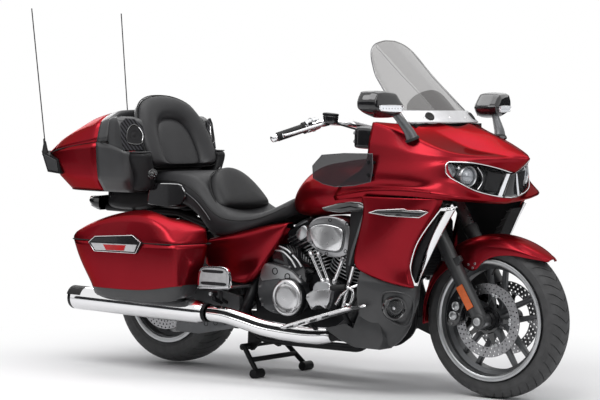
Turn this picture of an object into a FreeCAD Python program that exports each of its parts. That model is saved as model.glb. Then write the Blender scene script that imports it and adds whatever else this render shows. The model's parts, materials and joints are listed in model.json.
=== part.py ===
"""A touring cruiser motorcycle as a parametric document.

Frame: X forward, Y to the rider's left, Z up, origin on the floor below the middle of the machine.
Bodywork points are shares: along X the front axle stands at AXLE_SHARE and the fairing's rear edge at
NOSE_SHARE, up Z the top of the windshield at TOP_SHARE, across Y the outer face of a saddlebag at SIDE_SHARE.
"""
import FreeCAD
import Part
import Sketcher
import math
import os
from types import SimpleNamespace
from FreeCAD import Placement, Rotation, Vector

SIZES = {
    # Whole machine
    "wheelbase": 1710, "nose_length": 470, "screen_top": 1447, "bag_reach": 470, "rear_axle_x": -690,
    "stand_lift": 10,
    # Gaps and walls
    "running_gap": 0.08, "seat_gap": 0.3, "clear_gap": 6, "panel_wall": 5, "case_wall": 5, "screen_wall": 4,
    "overrun": 30, "edge_round": 4,
    # Steering geometry
    "rake": 31, "trail": 145, "fork_spread": 240, "stem_radius": 15, "head_wall": 17, "head_low": 800,
    "head_high": 955, "slider_radius": 29, "stanchion_radius": 23, "clamp_depth": 30, "slider_length": 420,
    "clamp_wall": 12,
    # Front wheel
    "front_tyre_radius": 319.5, "front_tyre_width": 130, "front_bead_radius": 231, "front_rim_width": 104,
    "front_hub_radius": 42, "front_axle_radius": 11, "front_disc_radius": 149, "front_disc_y": 74,
    # Rear wheel
    "rear_tyre_radius": 313.2, "rear_tyre_width": 200, "rear_bead_radius": 205, "rear_rim_width": 160,
    "rear_hub_radius": 55, "rear_axle_radius": 13, "rear_disc_radius": 160, "rear_disc_y": 98,
    "pulley_radius": 118, "pulley_y": 124, "pulley_width": 30, "belt_thickness": 5, "belt_gap": 0.5,
    # Shared wheel sizes
    "disc_thickness": 5, "disc_band": 42, "flange_height": 15, "barrel_wall": 9, "spoke_thickness": 32,
    "spoke_width": 26, "spoke_gap": 18, "tyre_wall": 12, "spoke_count": 5, "arm_count": 5, "arm_width": 16,
    # Frame
    "tube_radius": 17, "rail_y": 135, "rail_bend": 90, "pivot_radius": 26, "pin_radius": 7,
    # Engine
    "bank_half_angle": 24, "barrel_radius": 66, "fin_radius": 92, "fin_pitch": 15, "fin_thickness": 6,
    "fin_count": 9, "deck_start": 135, "head_length": 92, "head_size": 172, "head_width": 196,
    "case_half_width": 128, "cover_depth": 62, "round_cover_radius": 74, "pushrod_radius": 11,
    # Exhaust
    "muffler_radius": 52, "pipe_radius": 30, "exhaust_wall": 3, "pipe_bend": 80,
    # Handlebar
    "bar_radius": 12.7, "grip_radius": 18, "bar_bend": 60,
    # Stands
    "stand_tube_radius": 14, "stand_foot_radius": 20,
    # Antennas
    "antenna_radius": 2.6,
    # Hinges
    "hinge_pin_radius": 3, "knuckle_radius": 5.5,
}
AXLE_SHARE = 1.71
NOSE_SHARE = 1.24
TOP_SHARE = 1.447
SIDE_SHARE = 0.47

doc = FreeCAD.newDocument("touring_motorcycle")
sheet = doc.addObject("Spreadsheet::Sheet", "Sizes")
for row, (alias, value) in enumerate(SIZES.items(), 1):
    sheet.set(f"A{row}", alias)
    sheet.set(f"B{row}", str(value))
    sheet.setAlias(f"B{row}", alias)
doc.recompute()


class Dim(float):
    """A size of the sheet, or one worked out from sizes, with the expression that gives it."""

    def __new__(cls, value, text):
        item = float.__new__(cls, value)
        item.text = text
        return item

    def __add__(self, other):
        return Dim(float(self) + float(other), f"({self.text} + {text_of(other)})")

    def __radd__(self, other):
        return Dim(float(other) + float(self), f"({text_of(other)} + {self.text})")

    def __sub__(self, other):
        return Dim(float(self) - float(other), f"({self.text} - {text_of(other)})")

    def __rsub__(self, other):
        return Dim(float(other) - float(self), f"({text_of(other)} - {self.text})")

    def __mul__(self, other):
        return Dim(float(self) * float(other), f"({self.text} * {text_of(other)})")

    def __rmul__(self, other):
        return Dim(float(other) * float(self), f"({text_of(other)} * {self.text})")

    def __truediv__(self, other):
        return Dim(float(self) / float(other), f"({self.text} / {text_of(other)})")

    def __neg__(self):
        return Dim(-float(self), f"(-1 * {self.text})")


def text_of(value):
    return value.text if isinstance(value, Dim) else repr(float(value))


S = SimpleNamespace(**{alias: Dim(float(sheet.get(alias)), f"Sizes.{alias}") for alias in SIZES})
X_DIR, Y_DIR, Z_DIR = Vector(1, 0, 0), Vector(0, 1, 0), Vector(0, 0, 1)


def along(share):
    """The fairing keeps its distance from the front axle, and what lies behind it follows the wheelbase."""
    if share > NOSE_SHARE:
        return S.rear_axle_x + S.wheelbase - S.nose_length * ((AXLE_SHARE - share) / (AXLE_SHARE - NOSE_SHARE))
    return S.rear_axle_x + (S.wheelbase - S.nose_length) * (share / NOSE_SHARE)


def across(share):
    return S.bag_reach * (share / SIDE_SHARE)


def up(share):
    return S.screen_top * (share / TOP_SHARE)


def at(x_share, y_share, z_share):
    """A point of the bodywork from its three shares."""
    return Vector(along(x_share), across(y_share), up(z_share))


RAKE = math.radians(S.rake)
AXIS = Vector(-math.sin(RAKE), 0, math.cos(RAKE))
AHEAD = Vector(math.cos(RAKE), 0, math.sin(RAKE))
FRONT_AXLE = Vector(along(AXLE_SHARE), 0, S.front_tyre_radius)
REAR_AXLE = Vector(S.rear_axle_x, 0, S.rear_tyre_radius + S.stand_lift)
AXIS_FOOT = Vector(FRONT_AXLE.x + S.trail, 0, 0)
FORK_OFFSET = (FRONT_AXLE - AXIS_FOOT).dot(AHEAD)
CRANK = at(0.91, 0, 0.33)


def on_axis(height):
    """The point of the steering axis at a height."""
    return AXIS_FOOT + AXIS * (height / AXIS.z)


def on_fork(distance, side=0):
    """The point of a fork leg's centre line at a distance up from the front axle."""
    return FRONT_AXLE + AXIS * distance + Y_DIR * (side * S.fork_spread / 2)


# Document objects

def add(kind, name, **values):
    """An object of the document with its sizes bound to the sheet."""
    item = doc.addObject(kind, name)
    for key, value in values.items():
        if isinstance(value, Dim):
            item.setExpression(key, value.text)
        else:
            setattr(item, key, value)
    return item


def placed(item, base, axis=Z_DIR):
    item.Placement = Placement(base, Rotation(Z_DIR, axis))
    return item


def rod(start, end, radius):
    """A round bar from one point to another."""
    length = start.distanceToPoint(end)
    return placed(add("Part::Cylinder", "rod", Radius=radius, Height=length), start, end - start)


def drum(centre, radius, y_low, y_high):
    """A cylinder across the machine."""
    base = Vector(centre.x, y_low, centre.z)
    return placed(add("Part::Cylinder", "drum", Radius=radius, Height=y_high - y_low), base, Y_DIR)


def cone(start, end, radius_start, radius_end):
    item = add("Part::Cone", "cone", Radius1=radius_start, Radius2=radius_end, Height=start.distanceToPoint(end))
    return placed(item, start, end - start)


def block(corner, length, width, height):
    return placed(add("Part::Box", "block", Length=length, Width=width, Height=height), corner)


def span(low, high):
    """A box between two opposite corners."""
    return block(low, high.x - low.x, high.y - low.y, high.z - low.z)


def fuse(*items):
    return add("Part::MultiFuse", "fuse", Shapes=list(items)) if len(items) > 1 else items[0]


def cut(base, *tools):
    tool = fuse(*tools)
    return add("Part::Cut", "cut", Base=base, Tool=tool)


def common(first, second):
    return add("Part::Common", "common", Base=first, Tool=second)


def mirror(item):
    return add("Part::Mirroring", "twin", Source=item, Base=Vector(0, 0, 0), Normal=Y_DIR)


def group(*items):
    return add("Part::Compound", "group", Links=list(items))


def both(item):
    """A right-hand piece with its left-hand twin."""
    return group(item, mirror(item))


def ring(centre, outer, inner, y_low, y_high):
    return cut(drum(centre, outer, y_low, y_high), drum(centre, inner, y_low - S.overrun, y_high + S.overrun))


def drawn(shape, name="outline"):
    """A drawn wire kept as an object."""
    item = doc.addObject("Part::Feature", name)
    item.Shape = shape
    return item


def loft(wires, ruled=False):
    return add("Part::Loft", "loft", Sections=[drawn(w) for w in wires], Solid=True, Ruled=ruled)


def extruded(wire, run):
    """A slab from a flat outline; its thickness may be a size of the sheet."""
    item = add("Part::Extrusion", "slab", Base=drawn(wire), DirMode="Custom", Solid=True, Dir=run)
    item.LengthFwd = run.Length
    return item


# Outlines

def polygon(points):
    return Part.makePolygon(list(points) + [points[0]])


def corner_arc(before, corner, after, radius):
    """Start, middle and end of the arc that rounds a corner."""
    to_before = (before - corner).normalize()
    to_after = (after - corner).normalize()
    half = to_before.getAngle(to_after) / 2
    room = 0.45 * min(corner.distanceToPoint(before), corner.distanceToPoint(after))
    reach = min(radius / math.tan(half), room)
    bend = reach * math.tan(half)
    middle = corner + (to_before + to_after).normalize() * (bend / math.sin(half) - bend)
    return corner + to_before * reach, middle, corner + to_after * reach


def rounded(points, radius):
    """A closed wire of straight edges with an arc at every corner."""
    count = len(points)
    arcs = [corner_arc(points[i - 1], points[i], points[(i + 1) % count], radius) for i in range(count)]
    edges = []
    for i, (start, middle, end) in enumerate(arcs):
        edges.append(Part.Arc(start, middle, end).toShape())
        edges.append(Part.LineSegment(end, arcs[(i + 1) % count][0]).toShape())
    return Part.Wire(edges)


def path(points, radius):
    """An open wire of straight runs joined by arcs of up to a radius."""
    edges = []
    start = points[0]
    for i in range(1, len(points) - 1):
        first, middle, last = corner_arc(points[i - 1], points[i], points[i + 1], radius)
        edges.append(Part.LineSegment(start, first).toShape())
        edges.append(Part.Arc(first, middle, last).toShape())
        start = last
    edges.append(Part.LineSegment(start, points[-1]).toShape())
    return Part.Wire(edges)


def tube(points, radius, bend):
    """A round bar along a bent path."""
    section = placed(add("Part::Circle", "section", Radius=radius), points[0], points[1] - points[0])
    spine = drawn(path(points, bend), "spine")
    return add("Part::Sweep", "tube", Sections=[section], Spine=spine, Solid=True, Frenet=False)


def bend_in(points, distance):
    """An open polyline in two coordinates moved sideways by a distance, with mitred corners."""
    moved = []
    for i, (u, v) in enumerate(points):
        before = points[max(i - 1, 0)]
        after = points[min(i + 1, len(points) - 1)]
        runs = []
        for (a, b) in ((before, (u, v)), ((u, v), after)):
            length = math.hypot(b[0] - a[0], b[1] - a[1])
            if length > 0:
                runs.append(((b[0] - a[0]) / length, (b[1] - a[1]) / length))
        first, last = runs[0], runs[-1]
        nu, nv = -(first[1] + last[1]), first[0] + last[0]
        norm = math.hypot(nu, nv)
        nu, nv = nu / norm, nv / norm
        scale = distance / max(nu * -first[1] + nv * first[0], 0.35)
        moved.append((u + nu * scale, v + nv * scale))
    return moved


def arch(half, wall, to_point):
    """A closed wire of an arch with a wall, from the outer half outline that starts on the middle line."""
    outer = [(-u, v) for u, v in reversed(half[1:])] + list(half)
    inner = bend_in(outer, -wall)
    inner[0] = (outer[0][0] + wall, outer[0][1])
    inner[-1] = (outer[-1][0] - wall, outer[-1][1])
    return polygon([to_point(u, v) for u, v in outer] + [to_point(u, v) for u, v in reversed(inner)])


def plate(points, y_low, y_high, radius):
    """A slab across the machine with a rounded outline, given in side view."""
    outline = rounded([Vector(p.x, y_low, p.z) for p in points], radius)
    return extruded(outline, Vector(0, y_high - y_low, 0))


def side(*pairs):
    """Points of a side view from shares along X and up Z."""
    return [at(x, 0, z) for x, z in pairs]


# Bodies drawn with sketches

def turned(label, centre, profile):
    """A body of revolution about the wheel line; its profile holds places across and radii."""
    body = doc.addObject("PartDesign::Body", label)
    sketch = body.newObject("Sketcher::SketchObject", "profile")
    plane = next(p for p in body.Origin.OriginFeatures if p.Role == "XY_Plane")
    sketch.AttachmentSupport = (plane, "")
    sketch.MapMode = "FlatFace"
    count = len(profile)
    for i in range(count):
        (y_one, r_one), (y_two, r_two) = profile[i], profile[(i + 1) % count]
        sketch.addGeometry(Part.LineSegment(Vector(y_one, r_one, 0), Vector(y_two, r_two, 0)), False)
    for i in range(count):
        sketch.addConstraint(Sketcher.Constraint("Coincident", i, 2, (i + 1) % count, 1))
    for i, (place, radius) in enumerate(profile):
        for kind, value in (("DistanceX", place), ("DistanceY", radius)):
            if abs(value) < 1e-9:
                axis = -2 if kind == "DistanceX" else -1
                sketch.addConstraint(Sketcher.Constraint("PointOnObject", i, 1, axis))
                continue
            index = sketch.addConstraint(Sketcher.Constraint(kind, -1, 1, i, 1, float(value)))
            if isinstance(value, Dim):
                sketch.setExpression(f"Constraints[{index}]", value.text)
    solid = body.newObject("PartDesign::Revolution", "turning")
    solid.Profile = sketch
    solid.ReferenceAxis = (sketch, ["H_Axis"])
    solid.Angle = 360
    body.Tip = solid
    body.Placement = Placement(centre, Rotation(Y_DIR, Vector(0, 0, 1), Vector(1, 0, 0), "XYZ"))
    return body


NODES = {}


def node(label, item):
    """Names a finished sub-part."""
    item.Label = label
    NODES[label] = item
    return item


# Wheels

def tyre_section(centre, radius, width, bead, inset):
    """Half a section: beads inside the rim's flanges, bulged side walls and a round crown."""
    half, depth = width / 2, radius - bead
    right_shares = [(-0.62, 0, 1.2, 0), (-0.64, 0.2, 1.2, 0.35), (-1, 0.5, 1, 0), (-0.86, 0.8, 0.75, -0.55)]
    left_shares = [(-y, z, -in_y, in_z) for y, z, in_y, in_z in reversed(right_shares)]
    points = [Vector(centre.x, y * half + in_y * inset, centre.z + bead + z * depth + in_z * inset)
              for y, z, in_y, in_z in right_shares + [(0, 1, 0, -1)] + left_shares]
    return Part.Wire([
        Part.LineSegment(points[0], points[1]).toShape(), Part.Arc(points[1], points[2], points[3]).toShape(),
        Part.Arc(points[3], points[4], points[5]).toShape(), Part.Arc(points[5], points[6], points[7]).toShape(),
        Part.LineSegment(points[7], points[8]).toShape(), Part.LineSegment(points[8], points[0]).toShape()])


def spun(wire, centre):
    """A drawn outline turned round the wheel line."""
    item = add("Part::Revolution", "spun", Source=drawn(wire), Axis=Y_DIR, Base=centre, Angle=360, Solid=True)
    return item


def tyre(label, centre, radius, width, bead):
    outer = spun(tyre_section(centre, radius, width, bead, 0), centre)
    inner = spun(tyre_section(centre, radius, width, bead, S.tyre_wall), centre)
    node(label, cut(outer, inner))


def spoke(centre, angle, inner, outer, low, reach):
    """One tapered spoke with bevelled edges from the hub to the barrel."""
    half, thick = S.spoke_width / 2, S.spoke_thickness / 2
    corner_shares = ((-1, -0.6), (-0.6, -1), (0.6, -1), (1, -0.6), (1, 0.6), (0.6, 1), (-0.6, 1), (-1, 0.6))
    root = [Vector(inner + u * half, v * thick * 1.25, low) for u, v in corner_shares]
    tip = [Vector(outer + u * half * 0.72, v * thick * 0.8, reach) for u, v in corner_shares]
    item = loft([polygon(root), polygon(tip)], True)
    item.Placement = Placement(centre, Rotation(Y_DIR, angle))
    return item


def wheel(label, centre, bead, rim_width, hub_radius, axle_radius, hub_half):
    """A cast wheel: barrel, hub and pairs of spokes, bored for its axle."""
    half, flange, wall = rim_width / 2, S.flange_height, S.barrel_wall
    seat = bead - S.seat_gap
    drop = seat - wall * 2
    bore = axle_radius + S.running_gap
    barrel = turned(label + "_barrel", centre, [
        (-half, seat + flange), (wall - half, seat + flange), (wall - half, seat), (half * -0.66, seat),
        (half * -0.5, drop), (half * 0.5, drop), (half * 0.66, seat), (half - wall, seat),
        (half - wall, seat + flange), (half, seat + flange), (half, seat - wall), (half * 0.6, seat - wall),
        (half * 0.44, drop - wall), (half * -0.44, drop - wall), (half * -0.6, seat - wall),
        (-half, seat - wall)])
    hub = turned(label + "_hub", centre, [
        (-hub_half, bore), (-hub_half, hub_radius * 0.8), (hub_half * -0.6, hub_radius),
        (hub_half * 0.6, hub_radius), (hub_half, hub_radius * 0.8), (hub_half, bore)])
    spokes = []
    for index in range(round(S.spoke_count)):
        for way in (-1, 1):
            inner = way * (S.spoke_gap * 0.5 + S.spoke_width / 2)
            outer = way * (S.spoke_gap * 1.4 + S.spoke_width / 2)
            angle = 360 * index / S.spoke_count
            spokes.append(spoke(centre, angle, inner, outer, hub_radius * 0.72, drop - wall * 0.5))
    node(label, add("Part::Fuse", "rim", Base=barrel, Tool=fuse(hub, *spokes)))


def brake_disc(centre, radius, y_middle, hub_radius):
    """A brake disc: a band carried by arms round the hub."""
    thick, band = S.disc_thickness, S.disc_band
    low, high = y_middle - thick / 2, y_middle + thick / 2
    parts = [ring(centre, radius, radius - band, low, high),
             ring(centre, hub_radius * 1.2, hub_radius * 0.6, low, high)]
    for index in range(round(S.arm_count)):
        arm = add("Part::Box", "arm", Length=S.arm_width, Width=thick, Height=radius - band * 0.8 - hub_radius)
        turn = Rotation(Y_DIR, 360 * (index + 0.25) / S.arm_count)
        arm.Placement = Placement(centre, turn).multiply(
            Placement(Vector(S.arm_width / -2, low, hub_radius), Rotation()))
        parts.append(arm)
    return fuse(*parts)


def build_wheels():
    front_half = S.front_disc_y - S.disc_thickness / 2
    rear_half = S.rear_disc_y - S.disc_thickness / 2
    tyre("front_tyre", FRONT_AXLE, S.front_tyre_radius, S.front_tyre_width, S.front_bead_radius)
    wheel("front_rim", FRONT_AXLE, S.front_bead_radius, S.front_rim_width, S.front_hub_radius,
          S.front_axle_radius, front_half)
    node("front_discs", both(brake_disc(FRONT_AXLE, S.front_disc_radius, -S.front_disc_y, S.front_hub_radius)))
    tyre("rear_tyre", REAR_AXLE, S.rear_tyre_radius, S.rear_tyre_width, S.rear_bead_radius)
    wheel("rear_rim", REAR_AXLE, S.rear_bead_radius, S.rear_rim_width, S.rear_hub_radius,
          S.rear_axle_radius, rear_half)
    node("rear_disc", brake_disc(REAR_AXLE, S.rear_disc_radius, -S.rear_disc_y, S.rear_hub_radius))


def smooth_loop(points):
    """A closed smooth wire through the points."""
    curve = Part.BSplineCurve()
    curve.interpolate(Points=points, PeriodicFlag=True)
    return Part.Wire(curve.toShape())


def hull_loop(first, first_radius, second, second_radius, y_place):
    """The taut outline round two circles in side view."""
    run = second - first
    reach = run.Length
    base = math.atan2(run.z, run.x)
    lean = math.acos((first_radius - second_radius) / reach)

    def rim_point(centre, radius, angle):
        return Vector(centre.x + radius * math.cos(angle), y_place, centre.z + radius * math.sin(angle))

    top, low = base + lean, base - lean
    ends = [rim_point(first, first_radius, top), rim_point(second, second_radius, top),
            rim_point(second, second_radius, low), rim_point(first, first_radius, low)]
    return Part.Wire([
        Part.LineSegment(ends[0], ends[1]).toShape(),
        Part.Arc(ends[1], rim_point(second, second_radius, base), ends[2]).toShape(),
        Part.LineSegment(ends[2], ends[3]).toShape(),
        Part.Arc(ends[3], rim_point(first, first_radius, base + math.pi), ends[0]).toShape()])


PIVOT = at(0.47, 0, 0.31)
FENDER_RADIUS = S.rear_tyre_radius + S.overrun * 0.6
OUTPUT = at(0.60, 0, 0.33)
ARM_Y_SHARES = (0.156, 0.18)


STAND_PIVOT = at(0.50, 0, 0.125)
SIDE_PIVOT = at(0.80, 0.19, 0.18)
SIDE_FOLDED = Vector(-1, 0, -0.05).normalize()
SIDE_DOWN = Vector(0.25, 0.45, -0.86).normalize()
SIDE_AXIS = SIDE_FOLDED.cross(SIDE_DOWN).normalize()


def seat_rail(way, radius):
    """One side of the cradle, from the head down under the engine and up to the tail."""
    return tube([
        at(1.33, way * 0.02, 0.878), at(1.275, way * 0.055, 0.80), at(1.27, way * 0.09, 0.66),
        at(1.20, way * 0.135, 0.22), at(1.12, way * 0.135, 0.165), at(0.62, way * 0.135, 0.165),
        at(0.50, way * 0.085, 0.19), at(0.47, way * 0.08, 0.27), at(0.465, way * 0.08, 0.50),
        at(0.41, way * 0.11, 0.60), at(0.10, way * 0.115, 0.695), at(-0.34, way * 0.115, 0.705)],
        radius, S.rail_bend)


def build_chassis():
    """Head tube, backbone, cradle tubes, cross tubes and the brackets that carry the rest."""
    bore = S.stem_radius + S.running_gap
    head = rod(on_axis(S.head_low), on_axis(S.head_high), bore + S.head_wall)
    spine = tube([at(1.335, 0, 0.868), at(1.20, 0, 0.775), at(0.85, 0, 0.722), at(0.60, 0, 0.63),
                  at(0.467, 0, 0.50), at(0.467, 0, 0.42)], S.tube_radius, S.rail_bend)
    rails = {way: seat_rail(way, S.tube_radius) for way in (-1, 1)}
    pivot_tube = rod(at(0.467, -0.08, 0.42), at(0.467, 0.08, 0.42), S.tube_radius)
    stem_bore = rod(on_axis(S.head_low - S.overrun), on_axis(S.head_high + S.overrun), bore)
    node("frame", cut(fuse(head, spine, cut(pivot_tube, *rails.values())), stem_bore))

    crown = FENDER_RADIUS + S.panel_wall + S.seat_gap + S.tube_radius
    stand_pin = drum(STAND_PIVOT, S.pin_radius, -across(0.158), across(0.158))
    low_tube = rod(at(0.56, -0.084, 0.172), at(0.56, 0.084, 0.172), S.tube_radius * 0.8)
    crossings = [rod(at(-0.34, -0.115, 0.705), at(-0.34, 0.115, 0.705), S.tube_radius * 0.8),
                 drum(REAR_AXLE + Z_DIR * crown, S.tube_radius, -across(0.11), across(0.11))]
    node("cross_tubes", group(stand_pin, low_tube, *[cut(item, *rails.values()) for item in crossings]))

    thin = S.tube_radius / 2
    pivot_bore = drum(PIVOT, S.rear_axle_radius + S.running_gap, -S.overrun * 6, S.overrun * 6)
    hangers = []
    for way, side_name in ((-1, "right"), (1, "left")):
        for x_share, z_share, high in ((-0.16, 0.55, 0.70), (0.28, 0.50, 0.64)):
            hanger = tube([at(x_share, way * 0.115, high), at(x_share, way * 0.20, high - 0.04),
                           at(x_share, way * 0.215, z_share), at(x_share, way * 0.2617, z_share)],
                          thin, S.rail_bend)
            hangers.append(cut(hanger, rails[way]))
        parts = [rails[way]]
        for x_share in (-0.10, -0.32):
            foot, top = (at(x_share, way * 0.115, z_share) for z_share in (0.70, 0.79))
            parts.append(rod(foot, top, S.tube_radius * 0.7))
        parts.append(rod(at(0.465, way * 0.08, 0.50), at(0.465, way * 0.1897, 0.50), thin))
        parts.append(rod(at(1.27, way * 0.078, 0.72), at(1.27, way * 0.2474, 0.72), thin))
        low, high = sorted((way * 0.105, way * 0.135))
        parts.append(span(at(0.80, low, 0.168), at(0.86, high, 0.1967)))
        low, high = sorted((way * 0.084, way * 0.10))
        parts.append(plate(side((0.56, 0.19), (0.575, 0.165), (0.51, 0.105), (0.485, 0.115), (0.488, 0.19)),
                           across(low), across(high), S.clear_gap))
        if way > 0:
            root, neck, cap, tip = (SIDE_PIVOT - SIDE_AXIS * across(share) for share in (-0.05, 0.0103, 0.013, 0.016))
            parts += [rod(root, cap, S.pin_radius), rod(neck, tip, S.pin_radius * 1.6)]
        node("cradle_" + side_name, cut(fuse(*parts), head, spine, pivot_bore, stand_pin))
    node("bag_brackets", group(*hangers))


def build_swingarm():
    inner, outer = (across(share) for share in ARM_Y_SHARES)
    arms = []
    for low, high in ((inner, outer), (-outer, -inner)):
        arms.append(plate(side((0.505, 0.345), (0.505, 0.275), (0.40, 0.25), (0.04, 0.285), (-0.075, 0.295),
                               (-0.075, 0.352), (0.04, 0.362), (0.40, 0.365)), low, high, S.clear_gap * 2))
    behind = [PIVOT.x - S.pivot_radius * share for share in (1.65, 1.1, 0.4)]
    bridge = span(Vector(behind[0], -across(0.157), up(0.275)), Vector(behind[1], across(0.157), up(0.345)))
    sleeve = drum(PIVOT, S.pivot_radius, -across(0.06), across(0.06))
    neck = span(Vector(behind[1], -across(0.058), up(0.29)), Vector(behind[2], across(0.058), up(0.33)))
    pin = drum(PIVOT, S.rear_axle_radius, -outer, outer)
    axle_bore = drum(REAR_AXLE, S.rear_axle_radius + S.running_gap, -S.overrun * 8, S.overrun * 8)
    node("swingarm", cut(fuse(*arms, bridge, sleeve, neck, pin), axle_bore))
    hub_face = S.rear_disc_y + S.disc_thickness / 2 + S.seat_gap
    pulley_face = S.pulley_y + S.pulley_width / 2 + S.seat_gap
    sleeve_radius = S.rear_axle_radius * 1.6
    node("rear_axle", fuse(
        drum(REAR_AXLE, S.rear_axle_radius, -outer - S.clear_gap * 2, outer + S.clear_gap * 2),
        drum(REAR_AXLE, sleeve_radius, -inner + S.seat_gap, -hub_face),
        drum(REAR_AXLE, sleeve_radius, pulley_face, inner - S.seat_gap)))
    pulley_low, pulley_high = S.pulley_y - S.pulley_width / 2, S.pulley_y + S.pulley_width / 2
    hub_half = S.rear_disc_y - S.disc_thickness / 2
    bore = S.rear_axle_radius + S.running_gap
    node("rear_pulley", fuse(
        ring(REAR_AXLE, S.pulley_radius, S.pulley_radius * 0.82, pulley_low, pulley_high),
        ring(REAR_AXLE, S.pulley_radius * 0.84, S.rear_hub_radius * 0.6, pulley_low, pulley_low + S.case_wall * 2),
        ring(REAR_AXLE, S.rear_hub_radius * 0.75, bore, hub_half, pulley_low + S.case_wall * 2)))
    front_radius = S.pulley_radius * 0.38
    loops = []
    for grow in (S.belt_gap + S.belt_thickness, S.belt_gap):
        wire = hull_loop(REAR_AXLE, S.pulley_radius + grow, OUTPUT, front_radius + grow, pulley_low)
        loops.append(extruded(wire, Vector(0, S.pulley_width, 0)))
    node("drive_belt", cut(loops[0], loops[1]))


def bank(way):
    """The direction of a cylinder; way is -1 for the rear one and 1 for the front one."""
    angle = math.radians(S.bank_half_angle)
    return Vector(way * math.sin(angle), 0, math.cos(angle)), Vector(math.cos(angle), 0, -way * math.sin(angle))


def bank_point(way, up_axis, sideways, y_place=0):
    axis, square = bank(way)
    return CRANK + axis * up_axis + square * sideways + Y_DIR * y_place


def build_engine():
    deck = S.deck_start
    half_angle = math.radians(S.bank_half_angle)
    left = bank_point(-1, deck, -S.fin_radius)
    right = bank_point(1, deck, S.fin_radius)
    apex = CRANK + Z_DIR * (deck / math.cos(half_angle))
    case_points = side((0.668, 0.197), (1.05, 0.197), (1.12, 0.27), (1.11, 0.36)) + [right, apex, left]
    case_points += side((0.69, 0.39), (0.665, 0.30))
    case_half = S.case_half_width
    case = plate(case_points, -case_half, case_half, S.clear_gap)
    box = plate(side((0.535, 0.22), (0.70, 0.198), (0.72, 0.44), (0.62, 0.475), (0.535, 0.42)),
                case_half * -0.78, case_half * 0.78, S.clear_gap * 3)
    output = drum(OUTPUT, S.pulley_radius * 0.38, case_half * 0.7, S.pulley_y + S.pulley_width / 2)
    node("crankcase", fuse(case, box, output))

    cylinders = []
    heads = []
    for way in (-1, 1):
        axis, square = bank(way)
        foot = bank_point(way, deck, 0)
        profile = [(0, 0), (0, S.barrel_radius)]
        place = S.fin_pitch * 0.5
        for index in range(round(S.fin_count)):
            profile += [(place, S.barrel_radius), (place, S.fin_radius), (place + S.fin_thickness, S.fin_radius),
                        (place + S.fin_thickness, S.barrel_radius)]
            place = place + S.fin_pitch
        top = S.fin_pitch * S.fin_count
        profile += [(top, S.barrel_radius), (top, 0)]
        wire = polygon([foot + axis * rise + square * reach for rise, reach in profile])
        barrel = add("Part::Revolution", "barrel", Source=drawn(wire), Axis=axis, Base=foot, Angle=360, Solid=True)
        half, head = S.head_size / 2, S.head_length
        levels = 4
        step = head * 0.62 / levels
        right_side = []
        for index in range(levels):
            base = step * index
            right_side += [(base, half * 0.84), (base + step * 0.5, half * 0.84), (base + step * 0.5, half),
                           (base + step, half)]
        right_side += [(step * levels, half * 0.84), (head, half * 0.7)]
        left_side = [(rise, -reach) for rise, reach in reversed(right_side)]
        points = [bank_point(way, deck + top + rise, reach, S.head_width / -2)
                  for rise, reach in right_side + left_side]
        head_block = extruded(polygon(points), Vector(0, S.head_width, 0))
        heads.append(head_block)
        cylinders.append(fuse(barrel, head_block))
    gap = S.belt_gap / 2
    reach = S.head_size * 3
    rear_side = block(Vector(CRANK.x - gap, -reach / 2, 0), reach, reach, reach * 2)
    front_side = block(Vector(CRANK.x + gap - reach, -reach / 2, 0), reach, reach, reach * 2)
    node("cylinders", group(cut(cylinders[0], rear_side), cut(cylinders[1], front_side)))

    face = S.case_half_width
    gear_cover = plate(side((0.61, 0.33), (0.635, 0.43), (0.70, 0.50), (0.80, 0.475), (0.865, 0.43), (0.865, 0.28),
                            (0.78, 0.235), (0.66, 0.255)), -face - S.cover_depth, -face, S.clear_gap * 3)
    round_cover = drum(at(0.797, 0, 0.358), S.round_cover_radius, -face - S.cover_depth * 1.5, -face - S.cover_depth)
    cam_cover = plate(side((0.885, 0.26), (1.01, 0.255), (1.08, 0.32), (1.075, 0.39), (0.985, 0.445), (0.905, 0.45),
                           (0.885, 0.40)), -face - S.cover_depth * 1.2, -face, S.clear_gap * 3)
    primary = plate(side((0.66, 0.24), (0.98, 0.21), (1.08, 0.26), (1.09, 0.38), (1.0, 0.44), (0.76, 0.43),
                         (0.67, 0.37)), face, face + S.cover_depth * 1.1, S.clear_gap * 5)
    node("engine_covers", group(fuse(gear_cover, round_cover), cam_cover, primary))

    tubes = []
    radius = S.pushrod_radius
    y_place = -(S.fin_radius + radius + S.belt_gap)
    for way in (-1, 1):
        for share in (0.15, 0.55):
            rise = S.deck_start + S.fin_pitch * S.fin_count - S.seat_gap
            top = bank_point(way, rise, -way * S.fin_radius * share, y_place)
            low = at(0.965 + way * 0.03 - way * share * 0.05, 0, 0.44)
            low.y = y_place - radius * 2
            run = (top - low).normalize()
            tubes.append(cut(rod(low, top + run * radius, radius), case, cam_cover, *heads))
    node("pushrod_tubes", group(*tubes))

    centre = at(1.009, 0, 0.64)
    half_x, half_z = along(0.118) - along(0), up(0.08)
    y_low, y_high = -across(0.262), -across(0.205)

    def oval(share, y_place):
        points = [Vector(centre.x + half_x * u * share, y_place, centre.z + half_z * v * share)
                  for u, v in ((-1, -1), (1, -1), (1, 1), (-1, 1))]
        return rounded(points, half_z * 0.97 * share)

    body = extruded(oval(1, y_low), Vector(0, y_high - y_low, 0))
    dish = extruded(oval(0.78, y_low), Vector(0, S.clear_gap * 2, 0))
    plate_in = extruded(oval(0.6, y_low + S.clear_gap), Vector(0, S.clear_gap, 0))
    runner = rod(at(0.85, -0.04, 0.639), at(0.97, -0.04, 0.639), S.bar_radius * 1.4)
    neck = rod(at(0.91, -0.04, 0.639), at(0.93, -0.206, 0.639), S.bar_radius * 1.7)
    node("air_cleaner", fuse(cut(body, dish), plate_in, cut(fuse(runner, neck), *heads)))


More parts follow.
